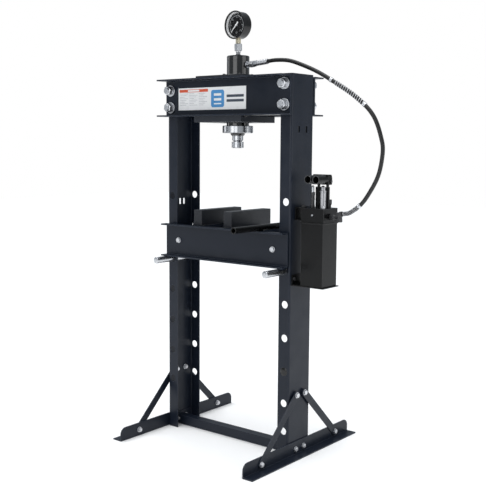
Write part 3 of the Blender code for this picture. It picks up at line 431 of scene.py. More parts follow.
def piece(name, bm, material, body="frame", replaces=(), edge=0.0004, segments=2):
    """Makes the named object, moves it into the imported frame, bevels it and rides it on its body."""
    bmesh.ops.translate(bm, verts=bm.verts, vec=(SHIFT, 0, 0))
    bmesh.ops.recalc_face_normals(bm, faces=bm.faces)
    mesh = bpy.data.meshes.new(name)
    bm.to_mesh(mesh)
    bm.free()
    mesh.shade_smooth()
    mesh.set_sharp_from_angle(angle=SHARP_ANGLE)
    item = bpy.data.objects.new(name, mesh)
    bpy.context.scene.collection.objects.link(item)
    item.data.materials.append(material)
    if edge:
        bevel = item.modifiers.new("edges", "BEVEL")
        bevel.width = edge
        bevel.segments = segments
        bevel.limit_method = "ANGLE"
        bevel.angle_limit = SHARP_ANGLE
        bevel.harden_normals = True
        bevel.use_clamp_overlap = True
    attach(item, body)
    if replaces:
        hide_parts(*replaces)
    return item


def dressed(node, material, edge=0.0):
    """A CAD node keeps its shape; it gets its material and, where wanted, rounded edges."""
    item = NODES[node]
    if not item.material_slots:
        item.data.materials.append(material)
    for holder in item.material_slots:
        holder.link = "OBJECT"
        holder.material = material
    if edge:
        weld = item.modifiers.new("joined", "WELD")
        weld.merge_threshold = 0.00001
        bevel = item.modifiers.new("edges", "BEVEL")
        bevel.width = edge
        bevel.segments = 2
        bevel.limit_method = "ANGLE"
        bevel.angle_limit = NODE_SHARP_ANGLE
        bevel.use_clamp_overlap = True
        bevel.harden_normals = True


# ---------------------------------------------------------------- hose

HOSE_DIAMETER = 0.016
HOSE_ROUTE = (
    (0.155, 1.598), (0.190, 1.6005), (0.240, 1.598), (0.289, 1.588), (0.385, 1.552), (0.469, 1.509),
    (0.580, 1.443), (0.6565, 1.373), (0.6945, 1.285), (0.7000, 1.228), (0.682, 1.146),
    (0.6345, 1.0665), (0.603, 1.0330), (0.571, 1.0110), (0.5534, 1.0025), (0.5290, 0.9992),
)
PUMP_PORT = (0.4743, -0.010, 0.985)
PORT_HEIGHT = 1.590
SPRING_WIRE = 0.0012


def dense_route(points):
    ends = [2 * Vector(points[0]) - Vector(points[1]), 2 * Vector(points[-1]) - Vector(points[-2])]
    whole = [ends[0]] + [Vector(point) for point in points] + [ends[1]]
    dense = []
    for before, start, end, after in zip(whole, whole[1:], whole[2:], whole[3:]):
        for step in range(24):
            t = step / 24
            dense.append(
                0.5
                * (
                    2 * start
                    + (end - before) * t
                    + (2 * before - 5 * start + 4 * end - after) * t**2
                    + (3 * start - before - 3 * end + after) * t**3
                )
            )
    dense.append(whole[-2])
    return dense


def running_lengths(dense):
    """The length of the line from its start to each of its points."""
    lengths = [0.0]
    for first, second in zip(dense, dense[1:]):
        lengths.append(lengths[-1] + (second - first).length)
    return lengths


def evenly(dense, count, start=0.0, end=1.0):
    """Points at equal steps between two shares of the line's length."""
    lengths = running_lengths(dense)
    found = []
    for index in range(count):
        target = lengths[-1] * (start + (end - start) * index / (count - 1))
        place = max(i for i, length in enumerate(lengths) if length <= target + 1e-9)
        if place >= len(dense) - 1:
            found.append(dense[-1].copy())
            continue
        share = (target - lengths[place]) / (lengths[place + 1] - lengths[place])
        found.append(dense[place].lerp(dense[place + 1], share))
    return found


def coil(path, radius, wire, pitch, sides=8):
    """A wire wound round a path."""
    length = sum((b - a).length for a, b in zip(path, path[1:]))
    turns = length / pitch
    count = int(turns * 20)
    spine = evenly(path, count)
    side = (spine[1] - spine[0]).orthogonal().normalized()
    found = []
    for index, point in enumerate(spine):
        tangent = (spine[min(index + 1, count - 1)] - spine[max(index - 1, 0)]).normalized()
        side = (side - tangent * side.dot(tangent)).normalized()
        up = tangent.cross(side)
        angle = 2 * math.pi * turns * index / (count - 1)
        found.append(point + radius * (math.cos(angle) * side + math.sin(angle) * up))
    bm = bmesh.new()
    add_tube(bm, found, wire, sides)
    return bm


def sleeve_profile(length, radius, inner, crimps):
    """A crimped sleeve's ring profile, from 0 to length."""
    outer = [(radius - 0.0008, 0.0), (radius, 0.0012)]
    for index in range(crimps):
        centre = length * (index + 1) / (crimps + 1)
        outer += [(radius, centre - 0.0022), (radius - 0.0011, centre - 0.0010)]
        outer += [(radius - 0.0011, centre + 0.0010), (radius, centre + 0.0022)]
    outer += [(radius, length - 0.0012), (radius - 0.0008, length)]
    return outer + [(inner, length), (inner, 0.0)]


def collar(name, path, radius, material):
    """A short metal band round the hose."""
    bm = bmesh.new()
    direction = (path[-1] - path[0])
    place = Matrix.Translation(path[0]) @ along(direction)
    add_ring(bm, sleeve_profile(direction.length, radius, HOSE_DIAMETER / 2 + 0.0001, 1), place, 40)
    return piece(name, bm, material, edge=0.0)


def hose():
    route = [(x, PUMP_PORT[1] * (x - HOSE_ROUTE[0][0]) / 0.4, z) for x, z in HOSE_ROUTE]
    dense = dense_route(route)
    points = evenly(dense, 40)
    length = sum((b - a).length for a, b in zip(points, points[1:]))
    curve = bpy.data.curves.new("hose_line", "CURVE")
    curve.dimensions = "3D"
    curve.bevel_depth = HOSE_DIAMETER / 2
    curve.bevel_resolution = 6
    curve.resolution_u = 6
    curve.use_fill_caps = True
    spline = curve.splines.new("BEZIER")
    spline.bezier_points.add(len(points) - 1)
    for knot, place in zip(spline.bezier_points, points):
        knot.co = place + Vector((SHIFT, 0, 0))
        knot.handle_left_type = "AUTO"
        knot.handle_right_type = "AUTO"
    item = bpy.data.objects.new("hose_line", curve)
    bpy.context.scene.collection.objects.link(item)
    curve.materials.append(RUBBER)
    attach(item, "frame")
    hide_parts("hose")

    def share(x, rising=False):
        """The share of the length at which the route passes X, going out or coming back."""
        inside = [i for i, p in enumerate(dense) if abs(p.x - x) < 0.004 and (p.z < 1.2) == rising]
        lengths = running_lengths(dense)
        return lengths[min(inside, key=lambda i: abs(dense[i].x - x))] / lengths[-1]

    upper, upper_end = share(0.487), share(0.612)
    lower, lower_end = share(0.600, True), 1.0
    guards = []
    bm = coil(evenly(dense, 60, upper, upper_end), HOSE_DIAMETER / 2 + SPRING_WIRE, SPRING_WIRE,
              0.0105)
    guards.append(piece("upper_spring_guard", bm, SPRING, edge=0.0))
    bm = coil(evenly(dense, 40, lower, lower_end - 0.004), HOSE_DIAMETER / 2 + 0.0007, 0.0007,
              0.0052)
    guards.append(piece("lower_spring_guard", bm, SPRING, edge=0.0))
    step = 0.012 / length
    for name, start in (
        ("upper_guard_band", upper_end), ("lower_guard_band", lower - step),
        ("hose_band", share(0.463)),
    ):
        guards.append(collar(name, evenly(dense, 2, start, start + step),
                             HOSE_DIAMETER / 2 + 0.0019, ZINC))
    return item, points, guards, length


hose_item, hose_points, hose_guards, hose_length = hose()


def cylinder_fitting():
    """The angled port nipple, the swivel nut and the crimped ferrule at the cylinder's end."""
    end = hose_points[0]
    direction = (hose_points[0] - hose_points[1]).normalized()
    end = end + direction * GAP
    start = end + direction * 0.0995
    place = Matrix.Translation(start) @ along(-direction)
    bm = bmesh.new()
    add_lathe(bm, [(0.0, 0.0), (0.0088, 0.0), (0.0098, 0.001), (0.0098, 0.008), (0.0, 0.008)],
              place, 40)
    add_nut(bm, place @ at(0, 0, 0.006), 0.0142, 0.020, both=True)
    add_nut(bm, place @ at(0, 0, 0.028), 0.0128, 0.014, both=True, turn=0.4)
    add_lathe(bm, [(0.0, 0.040), (0.0085, 0.040), (0.0085, 0.048), (0.0, 0.048)], place, 40)
    ferrule = sleeve_profile(0.052, 0.0108, 0.0, 5)[:-2]
    ferrule = [(0.0, 0.047)] + [(r, z + 0.047) for r, z in ferrule] + [(0.0, 0.0992)]
    add_lathe(bm, ferrule, place, 48)
    neck = [(0.0, 0.0), (0.0085, 0.0), (0.0085, 0.0280), (0.0, 0.0280)]
    add_lathe(bm, neck, at(0.035, 0, PORT_HEIGHT) @ along((1, 0, 0)), 40)
    add_ring(
        bm,
        [(0.0086, 0.0), (0.0136, 0.0), (0.0136, 0.003), (0.0086, 0.003)],
        at(0.0472, 0, PORT_HEIGHT) @ along((1, 0, 0)),
        40,
    )
    piece("cylinder_hose_end", bm, ZINC, replaces=("cylinder_hose_fitting",))


def pump_fitting():
    """The upright body on the pump's port, with a short sleeve out to the hose's level end."""
    x, y, z = PUMP_PORT
    elbow_x, low, high = 0.5155, 0.9665, 1.0045
    place = at(elbow_x, y, low)
    bm = bmesh.new()
    add_nut(bm, place, 0.0135, 0.0130, both=True)
    add_lathe(bm, [(0.0, 0.0125), (0.0112, 0.0125), (0.0112, 0.0240), (0.0, 0.0240)], place, 40)
    add_nut(bm, place @ at(0, 0, 0.0235), 0.0135, high - low - 0.0235, both=True)
    neck_start = x + 0.024 + GAP
    neck = [(0.0, 0.0), (0.0065, 0.0), (0.0065, elbow_x - neck_start), (0.0, elbow_x - neck_start)]
    add_lathe(bm, neck, at(neck_start, y, z) @ along((1, 0, 0)), 32)
    direction = (hose_points[-1] - hose_points[-2]).normalized()
    sleeve = [(0.0, 0.0), (0.0098, 0.0), (0.0104, 0.0006), (0.0104, 0.0120), (0.0, 0.0120)]
    add_lathe(bm, sleeve, Matrix.Translation(hose_points[-1] + direction * GAP) @ along(direction),
              40)
    piece("pump_hose_end", bm, BLUED, replaces=("pump_hose_fitting",))


cylinder_fitting()
pump_fitting()

# ---------------------------------------------------------------- frame

HALF_WIDTH = 0.330
UPRIGHT_DEPTH = 0.150
PIN_X = HALF_WIDTH - 0.0245
BEAM_BOTTOM = 1.378
BEAM_TOP = 1.534

for node in (
    "left_upright", "right_upright", "front_top_channel", "rear_top_channel", "left_foot",
    "right_foot",
    "base_crossbar", "left_front_brace", "left_rear_brace", "right_front_brace", "right_rear_brace",
    "front_bed_channel", "rear_bed_channel",
):
    dressed(node, PAINT, 0.0008)
for node in ("top_plate", "ram_mount_plate"):
    dressed(node, PLATE_PAINT, 0.0010)
for node in ("left_press_block", "right_press_block"):
    dressed(node, BLOCK_PAINT)


BEAM_BOLT_X = 0.302
BEAM_NUT_CORNER = 0.0202


def beam_bolts():
    """Bolts with a chamfered nut, a thick washer and a threaded end outside the beam's web."""
    web_face = UPRIGHT_DEPTH / 2 + 0.0106
    inner_face = UPRIGHT_DEPTH / 2 - 0.0053
    for side, where in ((-1, "front"), (1, "rear")):
        for x, hand, heights in ((-BEAM_BOLT_X, "left", (1.417, 1.489)),
                                 (BEAM_BOLT_X, "right", (1.419, 1.501))):
            for z, level in zip(heights, ("lower", "upper")):
                turn = RNG.uniform(0, math.pi / 3)
                place = at(x, 0, z) @ along((0, side, 0))
                bm = bmesh.new()
                shank = [(0.0, inner_face), (0.012, inner_face), (0.012, web_face), (0.0, web_face)]
                add_lathe(bm, shank, place, 32)
                head = place @ at(0, 0, inner_face) @ Matrix.Rotation(math.pi, 4, "X")
                add_nut(bm, head, BEAM_NUT_CORNER, 0.0138, turn=turn)
                washer = [(0.0115, 0.0), (0.0236, 0.0), (0.0240, 0.0006), (0.0240, 0.0032)]
                washer += [(0.0234, 0.0040), (0.0115, 0.0040)]
                add_ring(bm, washer, place @ at(0, 0, web_face), 56)
                nut = place @ at(0, 0, web_face + 0.004)
                add_nut(bm, nut, BEAM_NUT_CORNER, 0.0225, chamfer_at=0.90, both=True, turn=turn,
                        face_drop=0.0006)
                end = [(0.0, 0.020)] + threads(0.0121, 0.020, 0.0312)
                add_lathe(bm, end, place @ at(0, 0, web_face), 36)
                name = f"beam_bolt_{where}_{hand}_{level}"
                piece("zinc_" + name, bm, ZINC, replaces=(name,))


beam_bolts()


def small_bolt(bm, x, y, z, outward, grip, corner=0.0105, inner=True):
    """A small bolt through the sheets: head outside, washer and nut inside."""
    place = at(x, y, z) @ along((outward, 0, 0))
    turn = RNG.uniform(0, math.pi / 3)
    washer = [(0.0058, 0.0), (0.0118, 0.0), (0.0120, 0.0003), (0.0120, 0.0016), (0.0058, 0.0016)]
    add_ring(bm, washer, place, 36)
    add_nut(bm, place @ at(0, 0, 0.0016), corner, 0.0062, turn=turn)
    add_lathe(bm, [(0.0, -grip), (0.0058, -grip), (0.0058, 0.002), (0.0, 0.002)], place, 24)
    if inner:
        back = place @ at(0, 0, -grip) @ Matrix.Rotation(math.pi, 4, "X")
        add_ring(bm, washer, back, 36)
        add_nut(bm, back @ at(0, 0, 0.0016), corner, 0.0080, both=True, turn=turn + 0.5)
        add_lathe(bm, [(0.0, 0.004)] + threads(0.0056, 0.004, 0.0135, 0.0012, 0.0005), back, 24)


def foot_bolts():
    """The small zinc bolts of the feet, braces and crossbar, one piece for each side."""
    foot_sheet = 0.005
    for side, hand in ((-1, "left"), (1, "right")):
        bm = bmesh.new()
        foot_face = side * (HALF_WIDTH + GAP + foot_sheet + GAP)
        brace_face = side * (HALF_WIDTH + GAP + foot_sheet + GAP + 0.004 + GAP)
        for y in (-0.028, 0.028):
            small_bolt(bm, foot_face, y, 0.025, side, 0.0152)
        for y in (-0.262, 0.262):
            small_bolt(bm, brace_face, y, 0.027, side, 0.0100)
        for y in (-0.028, 0.028):
            small_bolt(bm, brace_face, y, 0.252, side, 0.0150)
        piece(f"{hand}_small_bolts", bm, ZINC)
        bm = bmesh.new()
        for y in (-0.028, 0.028):
            outline = [(0.0060, 0.0), (0.0135, 0.0), (0.0135, 0.0050), (0.0060, 0.0050)]
            place = at(side * (HALF_WIDTH + GAP), y, 0.252) @ along((side, 0, 0))
            add_ring(bm, outline, place, 32)
        piece(f"{hand}_brace_spacers", bm, PAINT)


foot_bolts()


def hole_plug():
    """A black plug pressed into the right upright's sixth hole."""
    place = at(PIN_X, -UPRIGHT_DEPTH / 2, 0.353) @ along((0, -1, 0))
    bm = bmesh.new()
    cap = [(0.0, 0.0032), (0.008, 0.0030), (0.0145, 0.0018), (0.0172, 0.0002), (0.0172, 0.0001),
           (0.0, 0.0001)]
    add_lathe(bm, cap, place, 48)
    add_ring(bm, [(0.0120, 0.0), (0.0150, 0.0), (0.0146, -0.009), (0.0120, -0.009)], place, 40)
    piece("hole_plug", bm, GAUGE_BLACK, edge=0.0)


hole_plug()


def slot_shade_plate():
    """A dark plate inside the right upright, behind the two slots in its web, as painted shade for the
    shaded inside of the channel.
    """
    bm = bmesh.new()
    face = HALF_WIDTH - 0.005 - GAP
    add_box(bm, (face - 0.002, face), (-0.040, 0.044), (1.302, 1.346))
    piece("slot_shade_plate", bm, SLOT_SHADE_BLACK)


slot_shade_plate()


def under_beam_screw():
    bm = bmesh.new()
    place = at(0.1285, -0.110, BEAM_BOTTOM - 0.001) @ Matrix.Rotation(math.pi, 4, "X")
    add_nut(bm, place, 0.0070, 0.0055)
    add_ring(bm, [(0.0040, 0.0), (0.0085, 0.0), (0.0085, 0.0012), (0.0040, 0.0012)], place, 32)
    piece("plate_screw", bm, BLUED)


under_beam_screw()


LABEL_X = (-0.2566, 0.1115)
LABEL_Z = (1.4053, 1.4977)
LABEL_FACE = -(UPRIGHT_DEPTH / 2 + 0.0106) - 0.0008


def rounded_box(x, z, radius, steps=6):
    """The corner-rounded outline of an upright panel."""
    corners = ((x[1], z[0], -90), (x[1], z[1], 0), (x[0], z[1], 90), (x[0], z[0], 180))
    outline = []
    for cx, cz, start in corners:
        px = cx - radius if cx == x[1] else cx + radius
        pz = cz - radius if cz == z[1] else cz + radius
        for step in range(steps + 1):
            angle = math.radians(start + 90 * step / steps)
            outline.append((px + radius * math.cos(angle), pz + radius * math.sin(angle)))
    return outline


def label():
    """The white plate with plain coloured panels; it bears no words."""
    place = Matrix(((1, 0, 0, 0), (0, 0, -1, LABEL_FACE), (0, 1, 0, 0), (0, 0, 0, 1)))
    face = 0.00012

    def panels(name, material, radius, low, high, *areas, steps=6, replaces=()):
        """One piece of flat panels, each given by its X and Z ranges."""
        bm = bmesh.new()
        for x, z in areas:
            add_outline(bm, rounded_box(x, z, radius, steps), low, high, place)
        piece(name, bm, material, replaces=replaces, edge=0.0)

    panels(
        "label_panel", LABEL_WHITE, 0.0015, -0.0008, 0.0, (LABEL_X, LABEL_Z),
        replaces=("label_plate",)
    )
    left, top = LABEL_X[0] + 0.006, LABEL_Z[1] - 0.006
    band = ((left, left + 0.160), (top - 0.012, top))
    panels("label_red_band", LABEL_RED, 0.001, -0.0001, face, band)
    band_gap = ((left + 0.048, left + 0.112), (top - 0.0095, top - 0.0025))
    panels("label_band_gap", LABEL_WHITE, 0.0006, 0.0, 2 * face, band_gap)
    bm = bmesh.new()
    for row in range(8):
        z = top - 0.0185 - 0.0068 * row
        for column in range(3):
            start = left + 0.003 + 0.053 * column
            width = 0.046 - 0.010 * ((row * 7 + column * 5) % 3)
            add_box(bm, (start, start + width), (z, z + 0.0016), (0.0, face), place)
    piece("label_lines", bm, LABEL_GREY, edge=0.0)
    blue = ((-0.0736, -0.003), (1.415, 1.486))
    panels("label_blue_panel", LABEL_BLUE, 0.010, -0.0001, face, blue, steps=8)
    white_bars = ((1.462, 0.010), (1.442, 0.010), (1.427, 0.005))
    bars = [((-0.058, -0.058 + 0.040), (z, z + height)) for z, height in white_bars]
    panels("label_blue_bars", LABEL_WHITE, 0.001, 0.0, 2 * face, *bars)
    bars = [((0.010, 0.100), (z, z + 0.0105)) for z in (1.4545, 1.4355)]
    panels("label_dark_bars", LABEL_DARK, 0.001, 0.0, face, *bars)


label()

# ---------------------------------------------------------------- cylinder and ram


def cylinder():
    flange_bottom = BEAM_TOP + GAP + 0.008 + GAP
    flange_top = flange_bottom + 0.006
    r = 0.047
    bm = bmesh.new()
    profile = [
        (0.0086, 1.626), (0.0100, 1.628), (0.0400, 1.628), (0.0440, 1.6272), (0.0462, 1.6255),
        (r, 1.6230), (r, 1.6075), (0.0464, 1.6070), (0.0464, 1.6045), (r, 1.6040),
        (r, flange_top + 0.002), (0.0490, flange_top), (0.0690, flange_top),
        (0.0700, flange_top - 0.001), (0.0700, flange_bottom), (r, flange_bottom), (r, 1.3405),
        (0.038, 1.3405), (0.038, 1.3115), (0.034, 1.3115), (0.034, 1.578), (0.0086, 1.578),
    ]
    add_ring(bm, profile, steps=96)
    piece("cylinder_tube", bm, CYLINDER_BLACK, replaces=("cylinder_body",),
          edge=0.0)
    bm = bmesh.new()
    for index in range(4):
        angle = math.radians(45 + 90 * index)
        place = at(0.0585 * math.cos(angle), 0.0585 * math.sin(angle), flange_top)
        head = [(0.0, 0.0048), (0.0030, 0.0048), (0.0034, 0.0052), (0.0052, 0.0052),
                (0.0058, 0.0044), (0.0058, 0.0)]
        add_lathe(bm, head + [(0.0, 0.0)], place, 28)
    piece("flange_screws", bm, BLUED, edge=0.0)
    seat = 0.0337
    bm = bmesh.new()
    gland = [
        (seat, 1.3405), (seat, 1.3115), (0.0318, 1.3095), (0.0305, 1.3085), (0.0300, 1.3060),
        (0.0300, 1.3050), (0.0268, 1.2990), (0.0260, 1.2985), (0.0236, 1.2985), (0.0235, 1.3405),
    ]
    add_ring(bm, gland, steps=64)
    piece("wiper_nut", bm, CYLINDER_BLACK, replaces=("cylinder_gland",),
          edge=0.0)


cylinder()


def lock_ring():
    """The notched chrome ring: its outline is one polygon with ten square notches."""
    top, bottom, radius, edge = 1.3402, 1.3095, 0.064, 0.0022
    notches, depth, half = 10, 0.006, 0.007
    outline = []
    for index in range(notches):
        centre = 2 * math.pi * (index + 0.35) / notches
        reach = math.asin(half / radius)
        side = Vector((-math.sin(centre), math.cos(centre)))
        out = Vector((math.cos(centre), math.sin(centre)))
        for sign in (-1, 1):
            deep = out * (radius - depth) + side * half * sign
            rim = out * math.sqrt(radius**2 - half**2) + side * half * sign
            outline += [rim, deep] if sign < 0 else [deep, rim]
        span = 2 * math.pi / notches - 2 * reach
        for step in range(1, 10):
            angle = centre + reach + span * step / 10
            outline.append(Vector((math.cos(angle), math.sin(angle))) * radius)
    bm = bmesh.new()
    inner = 0.0383
    rings = []
    for height, shrink in ((top, edge), (top - edge, 0.0), (bottom + edge, 0.0), (bottom, edge)):
        rings.append([bm.verts.new((*(p * (1 - shrink / p.length)), height)) for p in outline])
    count = len(outline)
    bores = []
    for height in (bottom, top):
        ring = []
        for point in outline:
            direction = point.normalized()
            ring.append(bm.verts.new((direction.x * inner, direction.y * inner, height)))
        bores.append(ring)
    order = rings + bores + [rings[0]]
    for low, high in zip(order, order[1:]):
        for step in range(count):
            after = (step + 1) % count
            bm.faces.new((low[step], low[after], high[after], high[step]))
    piece("notched_ring", bm, CHROME, replaces=("cylinder_lock_ring",), edge=0.0003)


lock_ring()


def ram():
    bm = bmesh.new()
    rod = [
        (0.0, 1.574), (0.0330, 1.574), (0.0335, 1.5735), (0.0335, 1.5405), (0.0330, 1.540),
        (0.0230, 1.540), (0.0230, 1.2795), (0.0225, 1.2788), (0.0170, 1.2760), (0.0170, 1.2590),
        (0.0, 1.2590),
    ]
    add_lathe(bm, rod, steps=72)
    piece("chrome_rod", bm, CHROME, "ram", ("ram_rod",), edge=0.0)
    bm = bmesh.new()
    tip = [
        (0.0, 1.2587), (0.0173, 1.2587), (0.0173, 1.2740), (0.0238, 1.2740), (0.0250, 1.2728),
        (0.0250, 1.2660), (0.0244, 1.2655), (0.0244, 1.2630), (0.0250, 1.2625), (0.0250, 1.2492),
        (0.0234, 1.2475), (0.0090, 1.2475), (0.0085, 1.2480), (0.0, 1.2480),
    ]
    add_lathe(bm, tip, steps=72)
    piece("ram_foot", bm, CHROME, "ram", ("ram_tip",), edge=0.0)


ram()

# ---------------------------------------------------------------- gauge

GAUGE_HEIGHT = 1.752
GAUGE_YAW = Matrix.Rotation(math.radians(-5), 4, "Z")
TO_FRONT = Matrix.Rotation(math.radians(90), 4, "X")
GAUGE_PLACE = at(0, 0, GAUGE_HEIGHT) @ GAUGE_YAW @ TO_FRONT
DIAL_FACE = 0.025 - 0.016 + GAP + 0.0015
MARK = 0.00012
SCALE_START = 225.0
SCALE_SWEEP = 270.0


def scale_angle(share):
    return math.radians(SCALE_START - SCALE_SWEEP * share)


def add_band(bm, inner, outer, start, end, low, high, place, steps=48):
    """A flat arc between two radii."""
    outline = []
    for step in range(steps + 1):
        angle = start + (end - start) * step / steps
        outline.append((outer * math.cos(angle), outer * math.sin(angle)))
    for step in range(steps + 1):
        angle = end + (start - end) * step / steps
        outline.append((inner * math.cos(angle), inner * math.sin(angle)))
    add_outline(bm, outline, low, high, place)


def add_number(bm, text, centre, size, place):
    """A dial number from plain bars, in the manner of a seven-segment figure."""
    bars = {"0": "abcdef", "1": "bc", "2": "abged", "3": "abgcd", "4": "fgbc", "5": "afgcd",
            "6": "afgedc"}
    high, wide, thick = size, size * 0.55, size * 0.13
    places = {
        "a": (0, high / 2, wide, thick),
        "d": (0, -high / 2, wide, thick),
        "g": (0, 0, wide, thick),
        "b": (wide / 2, high / 4, thick, high / 2),
        "c": (wide / 2, -high / 4, thick, high / 2),
        "f": (-wide / 2, high / 4, thick, high / 2),
        "e": (-wide / 2, -high / 4, thick, high / 2),
    }
    step = wide * 1.75
    start = centre[0] - step * (len(text) - 1) / 2
    for index, figure in enumerate(text):
        for bar in bars[figure]:
            x, y, w, h = places[bar]
            x += start + step * index
            y += centre[1]
            add_box(bm, (x - w / 2, x + w / 2), (y - h / 2, y + h / 2), (0, MARK), place)


def gauge():
    front = 0.025
    bm = bmesh.new()
    case = [
        (0.0, -front), (0.0420, -front), (0.0500, -front + 0.0008), (0.0532, -front + 0.0024),
        (0.0548, -front + 0.0050), (0.0550, -front + 0.0080), (0.0550, front - 0.0085),
        (0.0556, front - 0.0078), (0.0572, front - 0.0070), (0.0575, front - 0.0060),
        (0.0575, front - 0.0016), (0.0567, front - 0.0003), (0.0555, front), (0.0524, front),
        (0.0515, front - 0.0008), (0.0515, front - 0.0157), (0.0, front - 0.0157),
    ]
    add_lathe(bm, case, GAUGE_PLACE, 96)
    piece("gauge_housing", bm, GAUGE_BLACK, replaces=("gauge_case",), edge=0.0)
    bm = bmesh.new()
    wall = [
        (0.0514, front - 0.0050), (0.0514, DIAL_FACE + 0.0002), (0.0480, DIAL_FACE + 0.0002),
        (0.0500, front - 0.0050),
    ]
    add_ring(bm, wall, GAUGE_PLACE, 96)
    piece("gauge_inner_ring", bm, RECESS_WHITE, edge=0.0)
    base = GAUGE_PLACE @ at(0, 0, front - 0.016 + GAP)
    bm = bmesh.new()
    add_lathe(bm, [(0.0, 0.0015), (0.0504, 0.0015), (0.0504, 0.0), (0.0, 0.0)], base, 72)
    piece("gauge_face", bm, DIAL_BLACK, replaces=("gauge_dial",), edge=0.0)
    place = GAUGE_PLACE @ at(0, 0, DIAL_FACE)
    bm = bmesh.new()
    add_band(bm, 0.0372, 0.0386, scale_angle(0), scale_angle(1), 0, MARK, place)
    piece("gauge_scale_band", bm, DIAL_BAND, edge=0.0)
    bm = bmesh.new()
    for index in range(61):
        major = index % 10 == 0
        half = index % 5 == 0
        inner, width = (0.0385, 0.0010) if major else (0.0400, 0.0006) if half else (0.0412, 0.0003)
        turn = place @ Matrix.Rotation(scale_angle(index / 60), 4, "Z")
        add_box(bm, (inner, 0.0440), (-width / 2, width / 2), (0, MARK), turn)
    for index in range(7):
        angle = scale_angle(index / 6)
        text = str(index * 10)
        add_number(bm, text, (0.0312 * math.cos(angle), 0.0312 * math.sin(angle)), 0.0040, place)
    for row, width in ((-0.0290, 0.012), (-0.0330, 0.008)):
        add_box(bm, (-width / 2, width / 2), (row, row + 0.0010), (0, MARK), place)
    piece("gauge_scale", bm, DIAL_MARK, edge=0.0)
    bm = bmesh.new()
    lens = [(0.0, 0.0026), (0.030, 0.0023), (0.0506, 0.0012), (0.0508, 0.0008), (0.0508, 0.0),
            (0.0, 0.0)]
    add_lathe(bm, lens, GAUGE_PLACE @ at(0, 0, front - 0.0045), 72)
    piece("gauge_window", bm, GLASS, replaces=("gauge_lens",), edge=0.0)


gauge()


def pointer():
    base = GAUGE_PLACE @ at(0, 0, 0.0145)
    place = base @ Matrix.Rotation(math.radians(-45), 4, "Z")
    bm = bmesh.new()
    outline = [(-0.0024, 0.0), (-0.0028, 0.010)]
    outline += [(0.0042 * math.cos(math.radians(a)),
                 0.013 + 0.0042 * math.sin(math.radians(a))) for a in range(190, -11, -20)]
    outline += [(0.0028, 0.010), (0.0024, 0.0), (0.0011, -0.036), (0.0, -0.040), (-0.0011, -0.036)]
    add_outline(bm, outline, 0.0, 0.0008, place)
    hub = [(0.0, 0.0018), (0.0030, 0.0016), (0.0042, 0.0008), (0.0042, -0.0035), (0.0, -0.0035)]
    add_lathe(bm, hub, base, 36)
    piece("gauge_pointer_hand", bm, NEEDLE_WHITE, "pointer", ("gauge_needle",), edge=0.0)


pointer()


def gauge_mount():
    """The square brass shank, the zinc hexagon with its threaded neck into the cylinder, and a dark seal.
    """
    bm = bmesh.new()
    add_box(bm, (-0.0079, 0.0079), (-0.0079, 0.0079), (1.6773, 1.7009), GAUGE_YAW)
    piece("gauge_shank", bm, BRASS, replaces=("gauge_stem",), edge=0.0011, segments=3)
    bm = bmesh.new()
    add_nut(bm, at(0, 0, 1.6475), 0.0165, 0.0294, both=True, turn=-0.05)
    neck = [(0.0, 1.6490), (0.0100, 1.6490), (0.0105, 1.6480), (0.0100, 1.6440)]
    neck += [(0.0105 - 0.0028 * i / 12 - (0.0006 if i % 2 else 0.0),
              1.6440 - 0.0011 * i) for i in range(13)]
    neck += [(0.0076, 1.6300), (0.0076, 1.6105), (0.0, 1.6105)]
    add_lathe(bm, neck, steps=48)
    piece("gauge_adapter_hex", bm, ZINC, replaces=("gauge_adapter",))
    bm = bmesh.new()
    seal = [(0.0102, 1.6283), (0.0132, 1.6283), (0.0136, 1.6290), (0.0132, 1.6310),
            (0.0090, 1.6340)]
    add_ring(bm, seal + [(0.0082, 1.6340)], steps=48)
    piece("gauge_seal", bm, BLUED, edge=0.0)


gauge_mount()

# ---------------------------------------------------------------- bed

PIN_RADIUS = 0.014
PIN_BOTTOM = 0.764 - 0.0155 + GAP
BED_BOTTOM = PIN_BOTTOM + 2 * PIN_RADIUS + GAP
BED_MIDDLE = BED_BOTTOM + 0.141 / 2
BED_TOP = BED_BOTTOM + 0.141 + GAP
BED_WEB = 0.0890


def spacers():
    for x, hand in ((-0.254, "left"), (0.254, "right")):
        bm = bmesh.new()
        place = at(x, 0, BED_MIDDLE) @ along((0, 1, 0))
        tube = 0.0827
        add_ring(bm, [(0.0062, -tube), (0.0150, -tube), (0.0150, tube), (0.0062, tube)], place, 40)
        add_lathe(bm, [(0.0, -0.0895), (0.0058, -0.0895), (0.0058, 0.0895), (0.0, 0.0895)], place,
                  28)
        for side in (-1, 1):
            end = at(x, side * (BED_WEB + GAP), BED_MIDDLE) @ along((0, side, 0))
            washer = [(0.0058, 0.0), (0.0118, 0.0), (0.0120, 0.0003), (0.0120, 0.0017),
                      (0.0058, 0.0020)]
            add_ring(bm, washer, end, 40)
            add_nut(bm, end @ at(0, 0, 0.0020), 0.0104, 0.0066, turn=0.3 + 0.4 * side)
        piece(f"{hand}_spacer_bolt", bm, ZINC, "bed", (f"{hand}_bed_spacer",))


spacers()


def pins():
    height = PIN_BOTTOM + PIN_RADIUS
    for side, hand, front in ((-1, "left", -0.180), (1, "right", -0.208)):
        bm = bmesh.new()
        place = at(side * PIN_X, front, height) @ along((0, 1, 0))
        profile = [(0.0, 0.0002), (0.0040, 0.0), (0.0122, 0.0), (0.0132, 0.0005), (0.0140, 0.0018)]
        profile += [(0.0140, 0.0100), (0.0137, 0.0104), (0.0137, 0.0112), (0.0140, 0.0116)]
        profile += [(0.0140, 0.3282), (0.0132, 0.3295), (0.0122, 0.3300), (0.0, 0.3300)]
        add_lathe(bm, profile, place, 56)
        piece(f"{hand}_chrome_pin", bm, CHROME, f"{hand}_pin", (f"{hand}_bed_pin",),
              edge=0.0)


pins()


